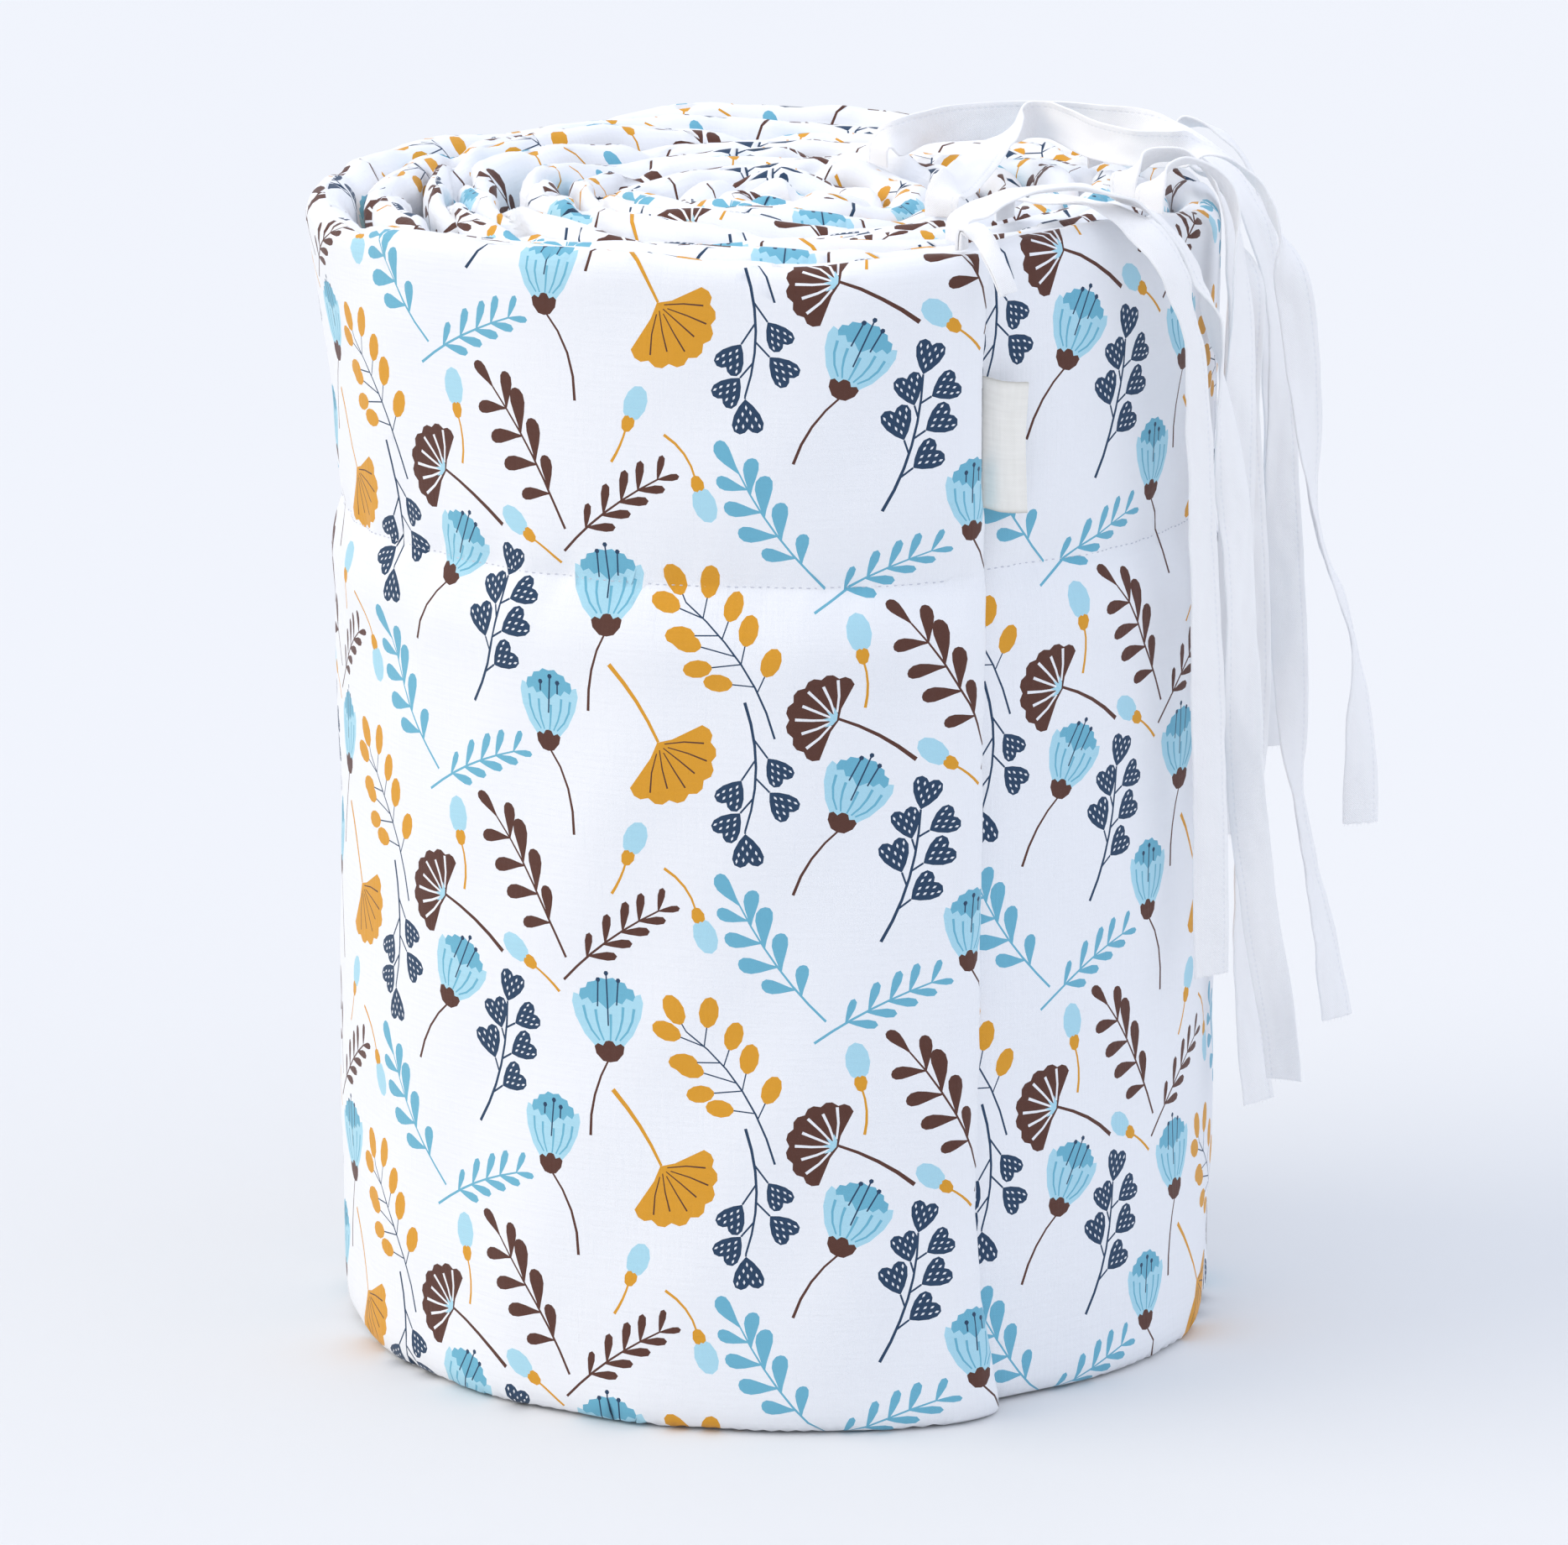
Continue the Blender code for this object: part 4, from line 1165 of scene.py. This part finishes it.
def tape_frames(tape, wide=TAPE_WIDTH):
    """A tape's middle line from its seam in the crest, and its width's direction."""
    wound = wound_at(tape.turn, tape.deg)
    aside = math.degrees(wide / 2 / middle_radius(wound))
    foot = max(crest_of_sections(wound + part * aside) for part in (-1, -0.5, 0, 0.5, 1))
    root = on_roll(tape.deg, middle_radius(wound) + lean_at(wound), foot + SEWN_GAP)
    stations = [Station(*row) for row in tape.stations]
    knots = [root, root + Vector((0, 0, TAPE_RISE))]
    knots += [ROLL_AXIS + Vector((s.x, s.y, s.z)) for s in stations]
    widths = []
    for i, station in enumerate(stations, start=2):
        along = (knots[min(i + 1, len(knots) - 1)] - knots[i - 1]).normalized()
        widths.append(square_to(heading_vector(station.heading, station.tip), along))
    sewn = heading_vector(tape.deg + 90, 0)
    if sewn.dot(widths[0]) < 0:
        sewn = -sewn
    route, widths = evenly(knots, [sewn, sewn] + widths)
    widths = flat_bends(route, widths)
    for i, width in enumerate(widths):
        if i * TAPE_STEP > TAPE_RISE:
            half = width * wide / 2
            pushes = [clear_of_roll(edge) - edge
                      for edge in (route[i] - half, route[i], route[i] + half)]
            route[i] = route[i] + max(pushes, key=lambda push: push.length)
    return route, widths


# How far a tape strays from its route.
TAPE_TWIST = 0.44            # radians
TAPE_CUP = 0.0021            # how far its middle stands out from its edges
TAPE_CUP_MORE = 0.0007
EDGE_RIPPLE = 0.0008
TAPE_RIPPLE = 0.00055
TAPE_GROOVE = 0.00012        # along the row of topstitching
TAB_LIE = 0.4                # a tape sewn down folded strays less


def tape_mesh(tape, seed, wide=TAPE_WIDTH, fold=None):
    """A tape along its route; fold says where a place across it goes when it is folded double.

    Also gives its length, and the places along its cut end with the way it ends."""
    route, widths = tape_frames(tape, wide)
    route, widths = spline(route, 4), spline(widths, 4)
    gone = distances(route)
    rows = len(route) - 1
    stitched = 1 - 2 * TAPE_STITCHING / TAPE_WIDTH
    mesh = bmesh.new()
    bmesh.ops.create_grid(mesh, x_segments=TAPE_COLUMNS * (2 if fold else 1),
                          y_segments=rows, size=1.0)
    chart = mesh.loops.layers.uv.new("cloth")
    for face in mesh.faces:
        face.smooth = True
        for loop in face.loops:
            u, i = loop.vert.co.x, round((loop.vert.co.y + 1) / 2 * rows)
            loop[chart].uv = ((u + 1) / 2 * TAPE_WIDTH, gone[i])
    cut_end = []
    for corner in mesh.verts:
        u, i = corner.co.x, round((corner.co.y + 1) / 2 * rows)
        at = gone[i]
        along = direction_at(route, i) if i else Vector((0, 0, 1))
        across = square_to(widths[i], along)
        face = along.cross(across).normalized()
        narrow = 1 - 0.07 * abs(uneven(at * 30, u, seed + 3.0)) - 0.05 * math.exp(-at / 0.01)
        free = soft(at / 0.02) * (TAB_LIE if fold else 1.0)
        swing = soft((at - 0.030) / 0.050)
        twist = TAPE_TWIST * swing * uneven(at * 17, seed * 2.9, 4.0)
        across, face = (across * math.cos(twist) + face * math.sin(twist),
                        face * math.cos(twist) - across * math.sin(twist))
        stray = TAPE_CUP * (1 - u * u) * uneven(at * 15, 0.0, seed)
        stray += TAPE_CUP_MORE * swing * uneven(at * 26, 0.0, seed + 5.5)
        stray += EDGE_RIPPLE * u * abs(u) * uneven(at * 55, u * 0.8, seed + 7.0)
        stray += TAPE_RIPPLE * uneven(at * 110, u * 1.6, seed + 2.0)
        aside, out = fold(u) if fold else (u * wide / 2, 0.0)
        out += free * stray - TAPE_GROOVE * bell(u - stitched, 0.10)
        corner.co = route[i] + across * (aside * narrow) + face * out
        if gone[-1] - at < 0.003:
            corner.co += along * 0.0005 * uneven(u * 5, seed, 2.0)
        if i == rows:
            cut_end.append((u, corner.co.copy()))
    places = [place for _, place in sorted(cut_end, key=lambda entry: entry[0])]
    return mesh, gone[-1], (places, (route[-1] - route[-3]).normalized())


def white_tape():
    """White cotton tape, with painted shade between the stitches of its topstitching; its chart runs
    across it in X and along it in Y.
    """
    cloth = Cloth("white_tape")
    normal, roughness, _ = woven(cloth, 0.00036, 0.00006, 0.84)
    x, y = cloth.chart()
    row = cloth.node("ShaderNodeMapRange", {}, {
        "Value": (x - (TAPE_WIDTH - TAPE_STITCHING)).math("ABSOLUTE"),
        "From Min": 0.00045, "From Max": 0.0001, "To Min": 0.0, "To Max": 1.0})
    dash = (y * (2 * math.pi / TAPE_STITCH)).math("SINE") * 0.5 + 0.5
    pressed = cloth.node("ShaderNodeBump", {}, {"Strength": 1.0, "Distance": 0.00010,
                                              "Height": row * (dash - 1.2), "Normal": normal})
    # Painted shade: the colour darkens to bluish grey in the gaps between stitches along the pressed
    # row of topstitching.
    stitch_gap_painted_shade = cloth.node("ShaderNodeMix", {"data_type": "RGBA"},
                       {"Factor": row * (1 - dash) * 0.35,
                        "A": linear(253, 253, 254), "B": linear(232, 235, 243)}, "Result")
    return cloth.finish(Base_Color=stitch_gap_painted_shade, Roughness=roughness, Normal=pressed, Sheen_Weight=0.15,
                        Sheen_Roughness=0.4, Specular_IOR_Level=0.25)


def thicken(piece, thickness):
    wall = piece.modifiers.new("plies", "SOLIDIFY")
    wall.thickness = thickness
    wall.offset = 0.0
    wall.use_even_offset = False
    round_over = piece.modifiers.new("rounded", "BEVEL")
    round_over.width = thickness * 0.35
    round_over.segments = 2
    round_over.limit_method = "ANGLE"
    round_over.angle_limit = math.radians(50)


FRAYS = 9                    # on each end
FRAY_THICK = 0.0002


def frayed_threads(cut_ends):
    """Short loose threads at the cut ends of the ties."""
    mesh = bmesh.new()
    for seed, (places, along) in enumerate(cut_ends):
        across = (places[-1] - places[0]).normalized()
        out = along.cross(across).normalized()
        last = len(places) - 1
        for k in range(FRAYS):
            share = (k + 0.35 * uneven(k * 3.7, seed * 5.1, 1.0)) / (FRAYS - 1)
            at = (0.04 + 0.92 * share) * last
            low = max(0, min(int(at), last - 1))
            foot = places[low].lerp(places[low + 1], at - low)
            long = 0.0009 + 0.0009 * abs(uneven(k * 2.3, seed * 3.3, 8.0))
            stray = (along + across * 0.5 * uneven(k * 5.1, seed * 2.7, 3.0)
                     + out * 0.4 * uneven(k * 4.3, seed * 6.1, 6.0)).normalized()
            made = bmesh.ops.create_cone(mesh, cap_ends=True, segments=4, radius1=FRAY_THICK / 2,
                                         radius2=FRAY_THICK / 4, depth=long)
            turn = Vector((0, 0, 1)).rotation_difference(stray)
            for corner in made["verts"]:
                corner.co = turn @ corner.co + foot + stray * (long / 2 - FRAY_THICK)
    return mesh


tape_cloth = white_tape()
cut_ends = []
for number, (name, tape) in enumerate(TAPES.items()):
    mesh, tape_length, cut_end = tape_mesh(tape, number * 1.7)
    cut_ends.append(cut_end)
    tie = add_piece("cotton_" + name, mesh, [tape_cloth])
    thicken(tie, TAPE_PLIES)
    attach(tie, "root")
    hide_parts(name)

frays = add_piece("frayed_threads", frayed_threads(cut_ends), [tape_cloth])
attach(frays, "root")

# --- Corner tab ---------------------------------------------------------------------------------
# The short end of the last tape, folded in half along its length, turned over the top corner of
# the free end and sewn down there.
TAB_WIDTH = 0.0068
TAB_BEND = 0.0006
CORNER_TAB = Tape(0, -69.0, (
    (0.0555, -0.1345, 0.3715, 14, 10), (0.0592, -0.1410, 0.3690, 22, 26),
    (0.0626, -0.1445, 0.3630, 24, 32), (0.0648, -0.1456, 0.3570, 24, 32)))


def folded_double(u):
    """Where a place across the tape, -1 to 1, goes: along the front, round the bend, back."""
    along = (u + 1) / 2 * TAPE_WIDTH
    leg = (TAPE_WIDTH - math.pi * TAB_BEND) / 2
    if along < leg:
        return along - leg / 2, TAB_BEND
    if along > TAPE_WIDTH - leg:
        return TAPE_WIDTH - along - leg / 2, -TAB_BEND
    turn = (along - leg) / TAB_BEND
    return leg / 2 + TAB_BEND * math.sin(turn), TAB_BEND * math.cos(turn)


mesh, tab_length, _ = tape_mesh(CORNER_TAB, 20.3, TAB_WIDTH, folded_double)
folded_tab = add_piece("folded_tab", mesh, [tape_cloth])
thicken(folded_tab, TAPE_PLIES)
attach(folded_tab, "root")
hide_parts("corner_tab")

# --- Label --------------------------------------------------------------------------------------
# A woven satin label in cream, folded double and sewn upright into the seam of the free end. It
# is left bare. Its colour darkens along the top and bottom edges as painted shadow.
LabelRow = namedtuple("LabelRow", "deg radius")
LABEL = (LabelRow(-64.75, 0.1362), LabelRow(-63.9, 0.1392), LabelRow(-63.0, 0.1404),
         LabelRow(-61.2, 0.1405), LabelRow(-59.3, 0.1391))
LABEL_LOW, LABEL_HIGH = 0.2875, 0.3280
LABEL_WIDTH = 0.0140
LABEL_THICK = 0.0009
LABEL_COLUMNS, LABEL_ROWS = 16, 30
LABEL_DROOP = 0.0024         # how much lower its free edge hangs
LABEL_CURL = 0.0010
CORNER_CURL = 0.0012


def label_mesh():
    across = spline([Vector((row.deg, row.radius, 0.0)) for row in LABEL], 4)
    long = LABEL_HIGH - LABEL_LOW
    mesh = bmesh.new()
    bmesh.ops.create_grid(mesh, x_segments=LABEL_COLUMNS, y_segments=LABEL_ROWS, size=0.5,
                          calc_uvs=False)
    chart = mesh.loops.layers.uv.new("cloth")
    for face in mesh.faces:
        face.smooth = True
        for loop in face.loops:
            loop[chart].uv = ((loop.vert.co.x + 0.5) * LABEL_WIDTH, (loop.vert.co.y + 0.5) * long)
    for corner in mesh.verts:
        u, v = corner.co.x + 0.5, corner.co.y + 0.5
        row = across[round(u * LABEL_COLUMNS)]
        curl = LABEL_CURL * u * u * (0.6 + uneven(v * 2.2, 0.0, 5.5))
        curl += CORNER_CURL * u * (2 * v - 1) ** 2
        corner.co = on_roll(row.x, row.y + curl, LABEL_LOW + v * long - LABEL_DROOP * u)
    return mesh


def label_satin():
    cloth = Cloth("label_satin")
    normal, roughness, slubs = woven(cloth, 0.00022, 0.00003, 0.55, 0.2)
    height = cloth.chart()[1]
    # Painted shadow: the colour darkens along the top and bottom edges, where the label stands off the
    # cloth.
    cut_ends = (height * (2 / (LABEL_HIGH - LABEL_LOW)) - 1) ** 36
    colour = cloth.node("ShaderNodeMix", {"data_type": "RGBA"},
                        {"Factor": 0.85 + slubs * 0.3 - cut_ends, "A": linear(205, 202, 192),
                         "B": linear(254, 252, 245)}, "Result")
    return cloth.finish(Base_Color=colour, Roughness=roughness, Normal=normal, Sheen_Weight=0.2,
                        Specular_IOR_Level=0.4)


woven_label = add_piece("woven_label", label_mesh(), [label_satin()])
thicken(woven_label, LABEL_THICK)
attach(woven_label, "root")
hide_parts("label")

# --- Floor and light ----------------------------------------------------------------------------
# A plain pale floor; a wide soft window light from the front left, a weak reflector at the right,
# and a pale room around, brighter overhead.
FLOOR_SIZE = 9.0             # from its middle to its sides
FLOOR_DROP = 0.0006
ROOM_COLOUR = (0.80, 0.84, 0.94, 1.0)
ROOM_LEVEL, ROOM_OVERHEAD = 0.40, 1.50
Lamp = namedtuple("Lamp", "name energy spread colour side")
LAMPS = (Lamp("window", 1.1, 50, (1.0, 0.89, 0.70), (-1.75, -0.35, 1.15)),
         Lamp("reflector", 0.30, 80, (0.95, 0.97, 1.0), (1.6, -0.45, 0.7)))


def floor_paint():
    paint = Cloth("pale_floor")
    place = paint.node("ShaderNodeTexCoord", {}, {}, "Object")
    cloud = paint.node("ShaderNodeTexNoise", {}, {"Vector": place, "Scale": 3.0, "Detail": 3.0})
    return paint.finish(Base_Color=linear(229, 230, 231), Roughness=0.7 + cloud * 0.1)


mesh = bmesh.new()
bmesh.ops.create_grid(mesh, x_segments=1, y_segments=1, size=FLOOR_SIZE)
bmesh.ops.translate(mesh, verts=mesh.verts, vec=(0, 0, -FLOOR_DROP))
floor = add_piece("floor", mesh, [floor_paint()])

world = bpy.data.worlds.new("pale_room")
bpy.context.scene.world = world
world.use_nodes = True
sky = world.node_tree
direction = sky.nodes.new("ShaderNodeTexCoord")
split = sky.nodes.new("ShaderNodeSeparateXYZ")
brighter_up = sky.nodes.new("ShaderNodeMapRange")
brighter_up.inputs["To Min"].default_value = ROOM_LEVEL
brighter_up.inputs["To Max"].default_value = ROOM_OVERHEAD
sky.links.new(direction.outputs["Generated"], split.inputs[0])
sky.links.new(split.outputs["Z"], brighter_up.inputs["Value"])
sky.links.new(brighter_up.outputs[0], sky.nodes["Background"].inputs["Strength"])
sky.nodes["Background"].inputs["Color"].default_value = ROOM_COLOUR

for lamp in LAMPS:
    sun = bpy.data.lights.new(lamp.name, "SUN")
    sun.energy = lamp.energy
    sun.angle = math.radians(lamp.spread)
    sun.color = lamp.colour
    hung = bpy.data.objects.new(lamp.name, sun)
    hung.rotation_euler = (-Vector(lamp.side)).to_track_quat("-Z", "Y").to_euler()
    bpy.context.scene.collection.objects.link(hung)

bpy.context.scene.view_settings.view_transform = "Standard"
